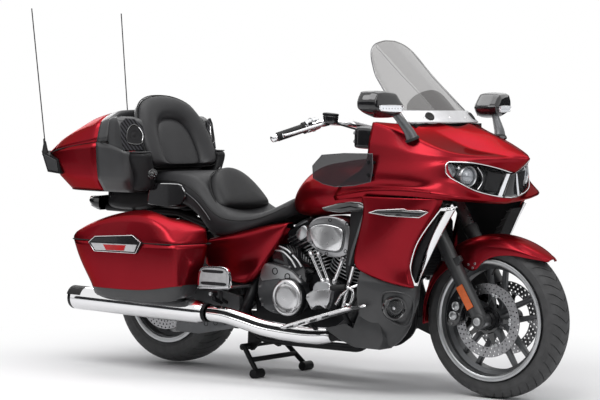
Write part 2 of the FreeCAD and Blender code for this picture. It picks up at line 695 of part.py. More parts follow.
def build_tank_and_seat():
    def loop(x_share, half, low, high, shares):
        points = []
        for u, v in shares:
            points.append((u * half, low + v * (high - low)))
        full = points + [(-u, v) for u, v in reversed(points[1:-1])]
        return smooth_loop([at(x_share, u, v) for u, v in full])

    tank_shares = ((0, 1), (0.55, 0.95), (0.93, 0.66), (1, 0.34), (0.86, 0.04), (0.45, -0.02), (0, 0))
    tank = loft([loop(x, half, low, high, tank_shares) for x, half, low, high in (
        (0.735, 0.085, 0.735, 0.80), (0.79, 0.145, 0.715, 0.862), (0.87, 0.185, 0.715, 0.915),
        (1.00, 0.222, 0.725, 0.945), (1.12, 0.23, 0.735, 0.95), (1.215, 0.205, 0.755, 0.94))])
    tunnel = extruded(polygon([Vector(p.x, -S.tube_radius * 1.5, p.z) for p in side(
        (0.70, 0.60), (0.70, 0.7167), (1.15, 0.7848), (1.26, 0.862), (1.26, 0.60))]), Y_DIR * (S.tube_radius * 3))
    node("fuel_tank", cut(tank, tunnel))
    seat_shares = ((0, 1), (0.6, 0.98), (0.95, 0.75), (1, 0.4), (0.9, 0.05), (0.5, 0), (0, 0))
    seat = loft([loop(x, half, low, high, seat_shares) for x, half, low, high in (
        (0.725, 0.075, 0.70, 0.79), (0.66, 0.13, 0.675, 0.735), (0.56, 0.185, 0.65, 0.702),
        (0.44, 0.20, 0.615, 0.712), (0.37, 0.20, 0.62, 0.80), (0.30, 0.19, 0.645, 0.90), (0.20, 0.185, 0.675, 0.886),
        (0.05, 0.18, 0.705, 0.88), (-0.02, 0.165, 0.71, 0.88))])
    node("seat", cut(seat, seat_rail(-1, S.tube_radius + S.seat_gap), seat_rail(1, S.tube_radius + S.seat_gap)))
    dome_foot, dome_top = at(0.035, 0, 0.905), at(-0.0943, 0, 1.2217)
    dome_shares = ((0, 1), (0.45, 0.965), (0.8, 0.82), (0.97, 0.6), (1, 0.34), (0.88, 0.08), (0.5, 0), (0, 0))
    dome = [dome_foot + (dome_top - dome_foot) * rise + Y_DIR * (across(0.2) * reach)
            for reach, rise in dome_shares]
    dome += [Vector(p.x, -p.y, p.z) for p in reversed(dome[1:-1])]
    backward = (dome_top - dome_foot).cross(Y_DIR).normalize()
    node("backrest", extruded(smooth_loop(dome), backward * across(0.0435)))
    cover = plate(side((0.768, 0.676), (0.712, 0.578), (0.605, 0.417), (0.503, 0.402), (0.334, 0.493), (0.33, 0.60),
                       (0.39, 0.606), (0.555, 0.644), (0.71, 0.688)), -across(0.21), -across(0.19), S.clear_gap * 2)
    node("side_covers", both(cover))


def build_fairing():
    wall = S.panel_wall
    band_shares = (
        (0.812, ((0, 1.745), (0.12, 1.743), (0.22, 1.738), (0.30, 1.725), (0.358, 1.642), (0.365, 1.48), (0.35, 1.30),
                 (0.30, 1.11))),
        (0.86, ((0, 1.762), (0.12, 1.752), (0.22, 1.73), (0.30, 1.69), (0.36, 1.60), (0.368, 1.48), (0.355, 1.33),
                (0.31, 1.13))),
        (0.912, ((0, 1.79), (0.10, 1.765), (0.20, 1.728), (0.29, 1.672), (0.352, 1.585), (0.36, 1.48), (0.35, 1.37),
                 (0.335, 1.26))),
        (0.958, ((0, 1.848), (0.11, 1.79), (0.222, 1.72), (0.298, 1.65), (0.3425, 1.56), (0.3425, 1.475),
                 (0.338, 1.38), (0.33, 1.30))))

    def band_wire(z_share, half):
        places = [(across(y), along(x)) for y, x in half]
        return arch(places, wall, lambda u, v: Vector(v, u, up(z_share)))

    band = loft([band_wire(z, half) for z, half in band_shares], True)
    plugs = []
    for z_share, half in band_shares:
        front = [at(x, y, z_share) for y, x in half[:4]]
        back = [at(1.62, half[3][0], z_share)]
        left_half = front + back
        right_half = [Vector(p.x, -p.y, p.z) for p in reversed(left_half[1:])]
        plugs.append(polygon(left_half + right_half))
    plug = loft(plugs, True)
    lamp_half = ((0, 0.908), (0.10, 0.918), (0.20, 0.934), (0.288, 0.947), (0.286, 0.92), (0.20, 0.852), (0.06, 0.818),
                 (0, 0.818))
    outline = [at(1.60, y, z) for y, z in lamp_half] + [at(1.60, -y, z) for y, z in reversed(lamp_half[1:-1])]
    prism = extruded(polygon(outline), X_DIR * (along(1.9) - along(1.6)))
    node("headlamp", common(plug, prism))
    node("fairing", cut(band, prism))
    hood_shares = (
        (1.305, ((0, 1.112), (0.10, 1.112), (0.20, 1.111), (0.302, 1.107), (0.325, 1.03), (0.331, 0.9583))),
        (1.40, ((0, 1.112), (0.10, 1.111), (0.205, 1.108), (0.315, 1.085), (0.334, 1.02), (0.338, 0.9583))),
        (1.475, ((0, 1.110), (0.10, 1.107), (0.192, 1.092), (0.315, 1.060), (0.338, 1.0), (0.3425, 0.9583))),
        (1.56, ((0, 1.103), (0.09, 1.092), (0.155, 1.045), (0.31, 1.028), (0.337, 0.985), (0.3425, 0.9583))),
        (1.65, ((0, 1.070), (0.08, 1.058), (0.12, 0.998), (0.278, 0.990), (0.292, 0.975), (0.298, 0.9583))),
        (1.72, ((0, 1.036), (0.07, 1.022), (0.105, 0.985), (0.20, 0.977), (0.215, 0.969), (0.222, 0.9583))),
        (1.79, ((0, 1.0), (0.055, 0.990), (0.08, 0.974), (0.095, 0.969), (0.105, 0.964), (0.11, 0.9583))),
        (1.846, ((0, 0.972), (0.012, 0.970), (0.018, 0.968), (0.023, 0.966), (0.027, 0.963), (0.03, 0.9583))))

    def hood_wire(x_share, half):
        places = [(across(y), up(z)) for y, z in half]
        return arch(places, wall, lambda u, v: Vector(along(x_share), u, v))

    hood = loft([hood_wire(x, half) for x, half in hood_shares], True)
    cockpit = span(at(1.28, -0.283, 0.97), at(1.47, 0.283, 1.15))
    node("hood", cut(hood, cockpit))
    node("dash", plate(side((1.448, 0.985), (1.4697, 0.985), (1.4697, 1.1063), (1.41, 1.10), (1.375, 1.085),
                            (1.394, 1.066)), -across(0.24), across(0.24), S.clear_gap / 3))

    def screen_wire(z_share, mid, half, edge):
        back = S.screen_wall
        return Part.Wire([
            Part.Arc(at(edge, -half, z_share), at(mid, 0, z_share), at(edge, half, z_share)).toShape(),
            Part.LineSegment(at(edge, half, z_share), at(edge, half, z_share) - X_DIR * back).toShape(),
            Part.Arc(at(edge, half, z_share) - X_DIR * back, at(mid, 0, z_share) - X_DIR * back,
                     at(edge, -half, z_share) - X_DIR * back).toShape(),
            Part.LineSegment(at(edge, -half, z_share) - X_DIR * back, at(edge, -half, z_share)).toShape()])

    node("windshield", loft([screen_wire(z, mid, half, edge) for z, mid, half, edge in (
        (1.1066, 1.527, 0.265, 1.43), (1.20, 1.435, 0.238, 1.335), (1.30, 1.328, 0.20, 1.243),
        (1.38, 1.243, 0.165, 1.195), (1.447, 1.172, 0.12, 1.165))]))
    pane = plate(side((1.087, 0.975), (1.044, 0.880), (1.157, 0.848), (1.334, 0.873), (1.342, 0.985)),
                 -across(0.364), -across(0.36), S.clear_gap * 2)
    peg = rod(at(1.28, -0.335, 0.885), at(1.28, -0.361, 0.885), S.clear_gap)
    node("wind_deflectors", both(fuse(pane, cut(peg, NODES["fairing"]))))
    shroud_shares = (
        (0.462, ((1.50, 0.335), (1.535, 0.325), (1.535, 0.255), (1.38, 0.215), (1.30, 0.25), (1.31, 0.345))),
        (0.54, ((1.49, 0.348), (1.545, 0.335), (1.575, 0.262), (1.38, 0.215), (1.235, 0.25), (1.24, 0.352))),
        (0.65, ((1.53, 0.358), (1.575, 0.33), (1.615, 0.264), (1.38, 0.215), (1.255, 0.25), (1.26, 0.356))),
        (0.8117, ((1.585, 0.36), (1.635, 0.31), (1.675, 0.25), (1.38, 0.225), (1.29, 0.25), (1.30, 0.352))))
    shroud = loft([polygon([at(x, -y, z) for x, y in half]) for z, half in shroud_shares], True)
    node("fairing_sides", both(shroud))
    cowl_shares = (
        (0.195, ((1.262, 0.27), (1.33, 0.262), (1.335, 0.20), (1.27, 0.20))),
        (0.30, ((1.25, 0.318), (1.43, 0.30), (1.44, 0.25), (1.30, 0.20))),
        (0.44, ((1.252, 0.334), (1.50, 0.322), (1.515, 0.262), (1.33, 0.215))),
        (0.4617, ((1.256, 0.333), (1.49, 0.322), (1.50, 0.262), (1.33, 0.215))))
    cowl = loft([polygon([at(x, -y, z) for x, y in half]) for z, half in cowl_shares], True)
    lamp = rod(at(1.36, -0.265, 0.368), at(1.432, -0.325, 0.368), S.front_hub_radius * 0.8)
    node("lower_cowls", both(cut(cowl, lamp)))
    node("fog_lamps", both(common(lamp, cowl)))
    housing_shares = ((1.402, 1.0), (1.44, 0.94), (1.475, 0.62))

    def mirror_wire(x_share, scale):
        outline = ((-0.5, -0.8), (0.75, -1), (1, -0.4), (0.92, 0.75), (0.5, 1), (-0.9, 0.8), (-1, -0.2))
        points = []
        for u, v in outline:
            y_share = 0.42 + u * 0.083 * scale
            points.append(at(x_share - (y_share - 0.42) * 0.6, -y_share, 1.183 + v * 0.052 * scale))
        return rounded(points, S.clear_gap * 1.5)

    housing = loft([mirror_wire(x, scale) for x, scale in housing_shares], True)
    stalk = tube([at(1.53, -0.325, 1.03), at(1.50, -0.345, 1.09), at(1.448, -0.375, 1.16)],
                 S.bar_radius * 0.7, S.bar_bend)
    node("mirrors", both(fuse(housing, cut(stalk, NODES["hood"]))))


def build_luggage():
    wall = S.case_wall

    def box_wire(z_share, back, front, half, inset=0.0):
        corner_shares = ((back, -half), (front, -half), (front, half), (back, half))
        points = [at(x_share, y_share, z_share) for x_share, y_share in corner_shares]
        middle = (points[0] + points[2]) * 0.5
        moved = []
        for p in points:
            inward_x = inset if p.x < middle.x else -inset
            inward_y = inset if p.y < 0 else -inset
            moved.append(p + Vector(inward_x, inward_y, 0))
        return rounded(moved, S.overrun * 1.6)

    box_shares = ((0.79, -0.52, -0.05, 0.235), (0.86, -0.575, -0.045, 0.29), (0.958, -0.612, -0.045, 0.312))
    outer = loft([box_wire(*row) for row in box_shares], True)
    inner_shares = ((0.795, -0.50, -0.165, 0.235), (0.86, -0.54, -0.165, 0.288), (0.97, -0.54, -0.165, 0.312))
    inner = loft([box_wire(*row, inset=wall) for row in inner_shares], True)
    shell = cut(outer, inner)
    front = loft([box_wire(0.958, -0.155, -0.045, 0.312), box_wire(1.05, -0.155, -0.06, 0.305),
                  box_wire(1.12, -0.155, -0.085, 0.285)], True)
    notch_side = side((0.06, 0.88), (-0.0023, 0.88), (-0.133, 1.20), (0.06, 1.20))
    notch = extruded(polygon(notch_side), Y_DIR * across(0.42))
    notch.Placement = Placement(Vector(0, -across(0.21), 0), Rotation())
    node("speaker_pods", cut(front, notch))
    lid_outer = loft([box_wire(0.961, -0.545, -0.16, 0.312), box_wire(1.05, -0.515, -0.16, 0.30),
                      box_wire(1.12, -0.46, -0.16, 0.27), box_wire(1.155, -0.40, -0.165, 0.21)], True)
    lid_inner = loft([box_wire(0.95, -0.545, -0.16, 0.312, wall), box_wire(1.05, -0.515, -0.16, 0.30, wall),
                      box_wire(1.12, -0.46, -0.16, 0.265, wall * 1.4),
                      box_wire(1.149, -0.41, -0.165, 0.21, wall * 2)], True)
    hinge_line = at(0, 0.3195, 0.9595)
    pin, knuckle = S.hinge_pin_radius, S.knuckle_radius
    leaf = S.seat_gap * 2
    fixed, moving, bores = [], [], []
    for x_share in (-0.46, -0.26):
        low = Vector(along(x_share), hinge_line.y, hinge_line.z)
        step = X_DIR * S.overrun
        fixed += [rod(low, low + step * 2, pin), rod(low, low + step * 0.8, knuckle),
                  block(low - (Y_DIR + Z_DIR) * (knuckle + wall), S.overrun * 0.8, knuckle + wall, wall * 2)]
        start = low + step * (0.8 + 0.02)
        moving += [rod(start, low + step * 2, knuckle),
                   block(start + Vector(0, -knuckle - wall, leaf * 4), S.overrun * 1.18, knuckle + wall, wall * 2)]
        bores.append(rod(low, low + step * 3, pin + S.running_gap))
    node("trunk_box", fuse(shell, *[cut(item, inner) for item in fixed]))
    node("trunk_lid", cut(fuse(cut(lid_outer, lid_inner), *[cut(item, lid_inner) for item in moving]), *bores))
    mast = []
    foot = at(-0.575, -0.285, 0.958)
    mast.append(cone(foot, foot + Z_DIR * S.overrun * 1.6, S.stand_tube_radius, S.antenna_radius * 1.5))
    mast.append(rod(foot + Z_DIR * S.overrun, at(-0.646, -0.301, 1.617), S.antenna_radius))
    node("antennas", both(fuse(*mast)))

    bag_outline = ((-0.278, 0.592), (0.10, 0.690), (0.22, 0.722), (0.33, 0.69), (0.412, 0.60), (0.378, 0.39),
                   (0.20, 0.365), (-0.20, 0.375), (-0.262, 0.47))

    def bag_wire(y_share, shrink, wall_inset=0.0):
        centre_x, centre_z = 0.08, 0.53
        points = []
        for x, z in bag_outline:
            point = at(centre_x + (x - centre_x) * shrink, -y_share, centre_z + (z - centre_z) * shrink)
            away = Vector(x - centre_x, 0, z - centre_z)
            points.append(point - away.normalize() * wall_inset)
        return rounded(points, S.overrun)

    bag_outer = loft([bag_wire(0.262, 0.98), bag_wire(0.41, 1.0), bag_wire(0.468, 0.93)], True)
    bag_inner = loft([bag_wire(0.267, 0.98, wall), bag_wire(0.41, 1.0, wall), bag_wire(0.463, 0.93, wall)], True)
    shell = cut(bag_outer, bag_inner)
    seam = 0.58
    above = span(at(-0.40, -0.52, seam), at(0.50, -0.268, 0.80))
    top_band = span(at(-0.40, -0.30, 0.6545), at(0.50, -0.20, 0.80))
    below = span(at(-0.40, -0.52, 0.30), at(0.50, -0.20, seam + 0.0015))
    inboard = span(at(-0.40, -0.2685, 0.50), at(0.50, -0.20, 0.6675))
    line = at(0.09, -0.2645, 0.661)
    step = X_DIR * S.overrun
    wall_up = knuckle + wall
    fixed = [rod(line, line + step * 7, pin)]
    moving = []
    for start, end in ((0, 1), (6, 7)):
        fixed.append(rod(line + step * start, line + step * end, knuckle))
        fixed.append(block(line + step * start + Vector(0, -wall / 2, -wall_up), S.overrun, wall, wall_up))
    low = line + step * 1.05
    moving.append(rod(low, line + step * 5.95, knuckle))
    moving.append(block(low + Vector(0, -wall / 2, 0), S.overrun * 4.9, wall, wall_up))
    bag = fuse(cut(shell, above, top_band), *fixed)
    lid = cut(fuse(cut(shell, below, inboard), *moving), rod(line, line + step * 7, pin + S.running_gap))
    node("saddlebags", both(bag))
    node("bag_lid_right", lid)
    node("bag_lid_left", mirror(lid))


def build_tail():
    centre, inner = REAR_AXLE, FENDER_RADIUS
    half = S.rear_tyre_width / 2 + S.clear_gap
    wall = S.panel_wall

    def fender_wire(angle_share, skirt):
        angle = math.radians(angle_share)
        half_outline = ((0, inner + wall), (half * 0.7, inner), (half, inner - S.overrun),
                        (half + wall / 2, inner - skirt))
        return arch(half_outline, wall, lambda u, v: Vector(
            centre.x + v * math.cos(angle), u, centre.z + v * math.sin(angle)))

    fender = loft([fender_wire(angle, S.overrun * 1.5) for angle in (42, 58, 74, 90, 106, 124, 142, 160)], True)
    node("rear_fender", fender)
    node("tail_lamp", plate(side((-0.3539, 0.69), (-0.44, 0.702), (-0.43, 0.745), (-0.3539, 0.76)),
                            -across(0.16), across(0.16), S.clear_gap))


def build_exhausts():
    port = bank_point(1, S.deck_start + S.fin_pitch * (S.fin_count + 2), S.head_size / 2 + S.seat_gap, -across(0.05))
    axis, square = bank(1)
    pipe = tube([port, port + square * S.overrun * 2.2, at(1.20, -0.16, 0.43), at(1.165, -0.265, 0.28),
                 at(1.06, -0.295, 0.226), at(0.88, -0.30, 0.228), at(0.68, -0.32, 0.255), at(0.50, -0.336, 0.283)],
                S.pipe_radius, S.pipe_bend)
    low, high = at(0.434, -0.34, 0.288), at(-0.330, -0.34, 0.305)
    run = (high - low).normalize()
    nose = cone(low - run * S.overrun * 3, low, S.pipe_radius * 1.12, S.muffler_radius)
    body = rod(low, high, S.muffler_radius)
    bore = rod(high - run * S.overrun * 2, high + run * S.overrun, S.muffler_radius - S.exhaust_wall)
    node("exhausts", both(cut(fuse(pipe, nose, body), bore)))


def build_feet():
    board = plate(side((0.935, 0.256), (1.19, 0.285), (1.285, 0.345), (1.285, 0.362), (1.185, 0.302),
                       (0.935, 0.272)), -across(0.455), -across(0.345), S.clear_gap)
    strut = tube([at(1.02, -0.40, 0.262), at(1.02, -0.37, 0.172), at(1.02, -0.15, 0.168)], S.tube_radius * 0.6,
                 S.bar_bend)
    cradle = rod(at(1.12, -0.135, 0.165), at(0.62, -0.135, 0.165), S.tube_radius)
    node("floorboards", both(cut(fuse(board, strut), cradle)))
    pedal = fuse(tube([at(1.05, -0.36, 0.292), at(1.12, -0.36, 0.345), at(1.22, -0.36, 0.395)], S.bar_radius * 0.6,
                      S.bar_bend),
                 span(at(1.20, -0.41, 0.388), at(1.26, -0.35, 0.402)))
    node("foot_controls", both(cut(pedal, board)))
    line = at(0.47, -0.352, 0.395)
    step = X_DIR * S.overrun
    eye = S.hinge_pin_radius * 2.2
    mount = fuse(rod(line, line + step * 4, S.hinge_pin_radius), rod(line + step * 1.1, line + step * 2.9, eye),
                 rod(line + step * 2, at(0.58, -0.08, 0.399), eye))
    node("board_mounts", both(cut(mount, NODES["crankcase"])))
    leaf = plate(side((0.412, 0.40), (0.60, 0.40), (0.60, 0.488), (0.412, 0.488)), -across(0.360), -across(0.346),
                 S.clear_gap)
    gap_block = block(line + step * 1.08 + Vector(0, -eye * 2, -eye * 2), S.overrun * 1.84, eye * 4, eye * 3.4)
    knuckles = [rod(line + step * 0.2, line + step * 1.06, eye), rod(line + step * 2.94, line + step * 3.8, eye)]
    bore = rod(line - step, line + step * 5, S.hinge_pin_radius + S.running_gap)
    board = cut(fuse(cut(leaf, gap_block), *knuckles), bore)
    node("passenger_board_right", board)
    node("passenger_board_left", mirror(board))


def build_steering():
    low_clamp, high_clamp = S.head_low - S.seat_gap, S.head_high + S.seat_gap

    def clamp(height_low, height_high):
        axis_low = on_axis(height_low)
        spread = S.fork_spread / 2
        reach = S.stanchion_radius + S.clamp_wall
        along_ahead = AHEAD * FORK_OFFSET
        points = [(-S.stem_radius * 2, -reach), (FORK_OFFSET, -spread - reach), (FORK_OFFSET + reach, -spread),
                  (FORK_OFFSET + reach * 0.6, 0), (FORK_OFFSET + reach, spread), (FORK_OFFSET, spread + reach),
                  (-S.stem_radius * 2, reach)]
        wire = rounded([axis_low + AHEAD * u + Y_DIR * v for u, v in points], S.clamp_wall)
        return extruded(wire, on_axis(height_high) - axis_low)

    stem = rod(on_axis(low_clamp - S.clamp_depth), on_axis(high_clamp + S.clamp_depth), S.stem_radius)
    plates = [clamp(low_clamp - S.clamp_depth, low_clamp), clamp(high_clamp, high_clamp + S.clamp_depth * 0.8)]
    leg_top = (on_axis(high_clamp + S.clamp_depth) - AXIS_FOOT).Length - (FRONT_AXLE - AXIS_FOOT).dot(AXIS)
    holes = [rod(on_fork(0, way), on_fork(leg_top * 1.2, way), S.stanchion_radius + S.running_gap) for way in (-1, 1)]
    risers = [rod(on_axis(high_clamp + S.clamp_depth * 0.5) + Y_DIR * y, at(1.252, 0, 1.04) + Y_DIR * y,
                  S.bar_radius * 1.3) for y in (-across(0.05), across(0.05))]
    bar_right = [at(0.925, -0.468, 1.043), at(1.0, -0.34, 1.09), at(1.06, -0.315, 1.11), at(1.15, -0.25, 1.105),
                 at(1.225, -0.12, 1.07), at(1.25, -0.05, 1.045)]
    bar_points = bar_right + [Vector(p.x, -p.y, p.z) for p in reversed(bar_right)]
    bar = tube(bar_points, S.bar_radius, S.bar_bend)
    node("fork_clamps", cut(fuse(stem, *plates, *risers), *holes, bar))
    node("handlebar", bar)
    legs, sliders = [], []
    for way in (-1, 1):
        sliders.append(rod(on_fork(-S.overrun, way), on_fork(S.slider_length, way), S.slider_radius))
        legs.append(fuse(rod(on_fork(S.slider_length, way), on_fork(leg_top, way), S.stanchion_radius), sliders[-1]))
    axle_bore = drum(FRONT_AXLE, S.front_axle_radius + S.running_gap, -S.fork_spread, S.fork_spread)
    node("fork_legs", group(*[cut(leg, axle_bore) for leg in legs]))
    disc_face = S.front_disc_y + S.disc_thickness / 2 + S.seat_gap
    leg_face = S.fork_spread / 2 - S.slider_radius
    node("front_axle", fuse(drum(FRONT_AXLE, S.front_axle_radius, -S.fork_spread / 2 - S.slider_radius - S.clear_gap,
                                 S.fork_spread / 2 + S.slider_radius + S.clear_gap),
                            drum(FRONT_AXLE, S.front_axle_radius * 1.6, disc_face, leg_face),
                            drum(FRONT_AXLE, S.front_axle_radius * 1.6, -leg_face, -disc_face)))
    grip_low, grip_high = at(0.93, -0.4595, 1.046), at(0.993, -0.3515, 1.0855)
    run = (grip_low - at(1.0, -0.34, 1.09)).normalize()
    start = at(1.0, -0.34, 1.09) + run * S.overrun * 0.5
    end = start + run * (grip_high.distanceToPoint(grip_low))
    grip = cut(rod(start, end, S.grip_radius), bar)
    node("grips", both(grip))
    inward = (at(1.06, -0.315, 1.11) - at(1.0, -0.34, 1.09)).normalize()
    root = start - run * 0.5 * S.overrun
    housing = rod(root, root + inward * S.overrun * 1.8, S.grip_radius * 1.4)
    tank = span(at(1.07, -0.345, 1.125), at(1.135, -0.285, 1.16))
    lever = tube([at(1.085, -0.33, 1.115), at(1.075, -0.38, 1.10), at(0.995, -0.49, 1.05)],
                 S.bar_radius * 0.5, S.bar_bend)
    bracket = rod(at(1.07, -0.31, 1.11), at(1.095, -0.325, 1.135), S.grip_radius)
    node("hand_controls", both(cut(fuse(housing, tank, bracket, lever), bar)))

    def fender_wire(angle_share, crown, half_share, skirt):
        angle = math.radians(angle_share)
        radius = S.front_tyre_radius + crown
        half = S.front_tyre_width * half_share
        outline = ((0, radius), (half * 0.65, radius - S.clear_gap), (half, radius - S.overrun),
                   (half + S.screen_wall / 2, radius - S.overrun - skirt))
        return arch(outline, S.screen_wall, lambda u, v: Vector(
            FRONT_AXLE.x + v * math.cos(angle), u, FRONT_AXLE.z + v * math.sin(angle)))

    wide = 0.6
    stations = ((45, 1.25, 0.36, 0.3), (60, 1.0, 0.54, 0.6), (80, 0.95, wide, 1.0), (100, 0.95, wide, 1.6),
                (120, 0.95, wide, 2.2), (145, 0.95, wide, 1.4), (168, 0.95, wide, 0.9), (187, 0.95, 0.56, 0.4))
    fender = loft([fender_wire(angle, S.overrun * crown, half, S.overrun * skirt)
                   for angle, crown, half, skirt in stations])
    half = S.front_tyre_width * wide
    lugs = []
    for way in (-1, 1):
        low, high = sorted((way * (half - S.screen_wall / 2), way * (S.fork_spread / 2 - S.slider_radius * 0.8)))
        lugs.append(cut(drum(on_fork(S.front_tyre_radius * 0.894), S.bar_radius, low, high), *sliders))
    node("front_fender", fuse(fender, *lugs))
    calipers = []
    for way in (-1, 1):
        low, high = sorted((way * (S.front_disc_y - S.clear_gap * 4), way * (S.fork_spread / 2 - S.clear_gap)))
        centre = FRONT_AXLE - AHEAD * (S.front_disc_radius * 0.57) + AXIS * (S.front_disc_radius * 0.64)
        reach = S.front_disc_radius
        outline = [centre + AHEAD * (u * reach) + AXIS * (v * reach) for u, v in
                   ((-0.25, -0.35), (0.18, -0.35), (0.25, -0.12), (0.25, 0.12), (0.18, 0.35), (-0.25, 0.35))]
        body = plate(outline, low, high, S.clear_gap)
        lug_reach = (S.front_disc_y + S.clear_gap * 3, S.fork_spread / 2 - S.clear_gap)
        lug_low, lug_high = sorted(way * reach for reach in lug_reach)
        lug = plate([centre + AHEAD * (u * reach) + AXIS * (v * reach) for u, v in
                     ((0.1, -0.14), (0.48, -0.14), (0.48, 0.14), (0.1, 0.14))], lug_low, lug_high, S.clear_gap / 3)
        slot_y = way * S.front_disc_y
        slot = ring(FRONT_AXLE, S.front_disc_radius + S.clear_gap, S.front_axle_radius,
                    slot_y - S.clear_gap, slot_y + S.clear_gap)
        calipers.append(cut(fuse(body, lug), slot, *sliders))
    node("front_calipers", group(*calipers))


def build_stands():
    """The deployed centre stand and the folded side stand on their pins."""
    bore = drum(STAND_PIVOT, S.pin_radius + S.running_gap, -across(0.17), across(0.17))
    parts = []
    for way in (-1, 1):
        low, high = sorted((way * across(0.101), way * across(0.155)))
        shoe = at(0.60, way * 0.172, 0)
        shoe.z = S.stand_foot_radius
        knee = STAND_PIVOT + Y_DIR * (way * across(0.14))
        parts += [drum(STAND_PIVOT, S.stand_tube_radius, low, high), rod(knee, shoe, S.stand_tube_radius * 0.8),
                  drum(shoe, S.stand_foot_radius, shoe.y - S.overrun, shoe.y + S.overrun)]
    middle = (knee + shoe) * 0.5
    parts.append(drum(middle, S.stand_tube_radius * 0.8, -middle.y, middle.y))
    node("centre_stand", cut(fuse(*parts), bore))
    half = SIDE_AXIS * across(0.01)
    tip = SIDE_PIVOT + SIDE_FOLDED * across(0.165)
    eye = rod(SIDE_PIVOT - half, SIDE_PIVOT + half, S.stand_tube_radius * 1.1)
    leg = rod(SIDE_PIVOT, tip, S.stand_tube_radius * 0.7)
    shoe = rod(tip - SIDE_DOWN * S.clear_gap, tip + SIDE_DOWN * S.clear_gap, S.stand_tube_radius)
    hole = rod(SIDE_PIVOT - half * 3, SIDE_PIVOT + half * 3, S.pin_radius + S.running_gap)
    node("side_stand", cut(fuse(eye, leg, shoe), hole))


build_wheels()
build_chassis()
build_swingarm()
build_engine()
build_tank_and_seat()
build_fairing()
build_luggage()
build_tail()
build_exhausts()
build_feet()
build_steering()
build_stands()
doc.recompute()
failed = [item.Name for item in doc.Objects if "Invalid" in item.State or "Error" in item.State]
if failed:
    raise SystemExit(f"objects failed: {failed}")
for label, item in NODES.items():
    if item.Shape.isNull() or not item.Shape.isValid():
        raise SystemExit(f"{label} has no valid shape")
os.makedirs("parts", exist_ok=True)
for label, item in NODES.items():
    item.Shape.exportStep(f"parts/{label}.step")
print(f"{len(NODES)} sub-parts")
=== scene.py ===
"""Looks of the touring motorcycle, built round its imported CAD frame. Metres, X forward, Y left, Z up."""
import json
import math
import bmesh
import bpy
from mathutils import Matrix, Vector


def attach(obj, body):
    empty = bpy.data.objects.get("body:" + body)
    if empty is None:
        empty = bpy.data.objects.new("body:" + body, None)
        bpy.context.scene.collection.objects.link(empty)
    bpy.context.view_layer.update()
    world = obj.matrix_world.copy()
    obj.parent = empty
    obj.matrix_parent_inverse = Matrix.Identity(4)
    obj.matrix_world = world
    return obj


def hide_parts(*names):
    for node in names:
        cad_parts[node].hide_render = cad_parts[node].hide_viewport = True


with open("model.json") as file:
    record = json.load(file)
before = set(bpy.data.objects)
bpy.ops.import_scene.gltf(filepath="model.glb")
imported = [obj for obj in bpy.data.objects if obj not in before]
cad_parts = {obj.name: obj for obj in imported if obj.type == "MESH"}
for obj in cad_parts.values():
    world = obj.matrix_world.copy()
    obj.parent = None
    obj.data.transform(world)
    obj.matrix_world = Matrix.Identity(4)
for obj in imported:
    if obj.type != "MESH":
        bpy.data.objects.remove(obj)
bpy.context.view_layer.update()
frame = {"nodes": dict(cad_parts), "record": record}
NODES = frame["nodes"]
AXLE_X = -.69
FRONT_AXLE = Vector((1.02, 0, .3195))
REAR_AXLE = Vector((-.69, 0, .3232))
RAKE = math.radians(31)
FORK_UP = Vector((-math.sin(RAKE), 0, math.cos(RAKE)))
FORK_AHEAD = Vector((math.cos(RAKE), 0, math.sin(RAKE)))


def at(x, y, z):
    """A point measured from the rear axle's foot."""
    return Vector((x + AXLE_X, y, z))


# Camera at the photograph's place, solved from the wheels in it

AZIMUTH, ELEVATION, ROLL, DISTANCE = .66284, .046803, .0051939, 8.7111
PHOTO_WIDTH, FOCAL_PIXELS, SENSOR_WIDTH = 600, 2007.7, 36


def build_camera():
    target = at(.6944, 0, .7667)
    right = Vector((math.cos(AZIMUTH), math.sin(AZIMUTH), 0))
    back = Vector((math.cos(ELEVATION) * math.sin(AZIMUTH), -math.cos(ELEVATION) * math.cos(AZIMUTH),
                   math.sin(ELEVATION)))
    upward = back.cross(right)
    tilt_right = right * math.cos(ROLL) + upward * math.sin(ROLL)
    tilt_up = upward * math.cos(ROLL) - right * math.sin(ROLL)
    data = bpy.data.cameras.new("camera")
    data.sensor_width = SENSOR_WIDTH
    data.lens = FOCAL_PIXELS / PHOTO_WIDTH * SENSOR_WIDTH
    camera = bpy.data.objects.new("camera", data)
    place = target + back * DISTANCE
    rows = [(tilt_right[i], tilt_up[i], back[i], place[i]) for i in range(3)]
    camera.matrix_world = Matrix(rows + [(0, 0, 0, 1)])
    bpy.context.scene.collection.objects.link(camera)
    bpy.context.scene.camera = camera


# Materials

def add_node(tree, kind, values=()):
    """A new shader node with its input values."""
    made = tree.nodes.new("ShaderNode" + kind)
    for label, value in dict(values).items():
        made.inputs[label].default_value = value
    return made


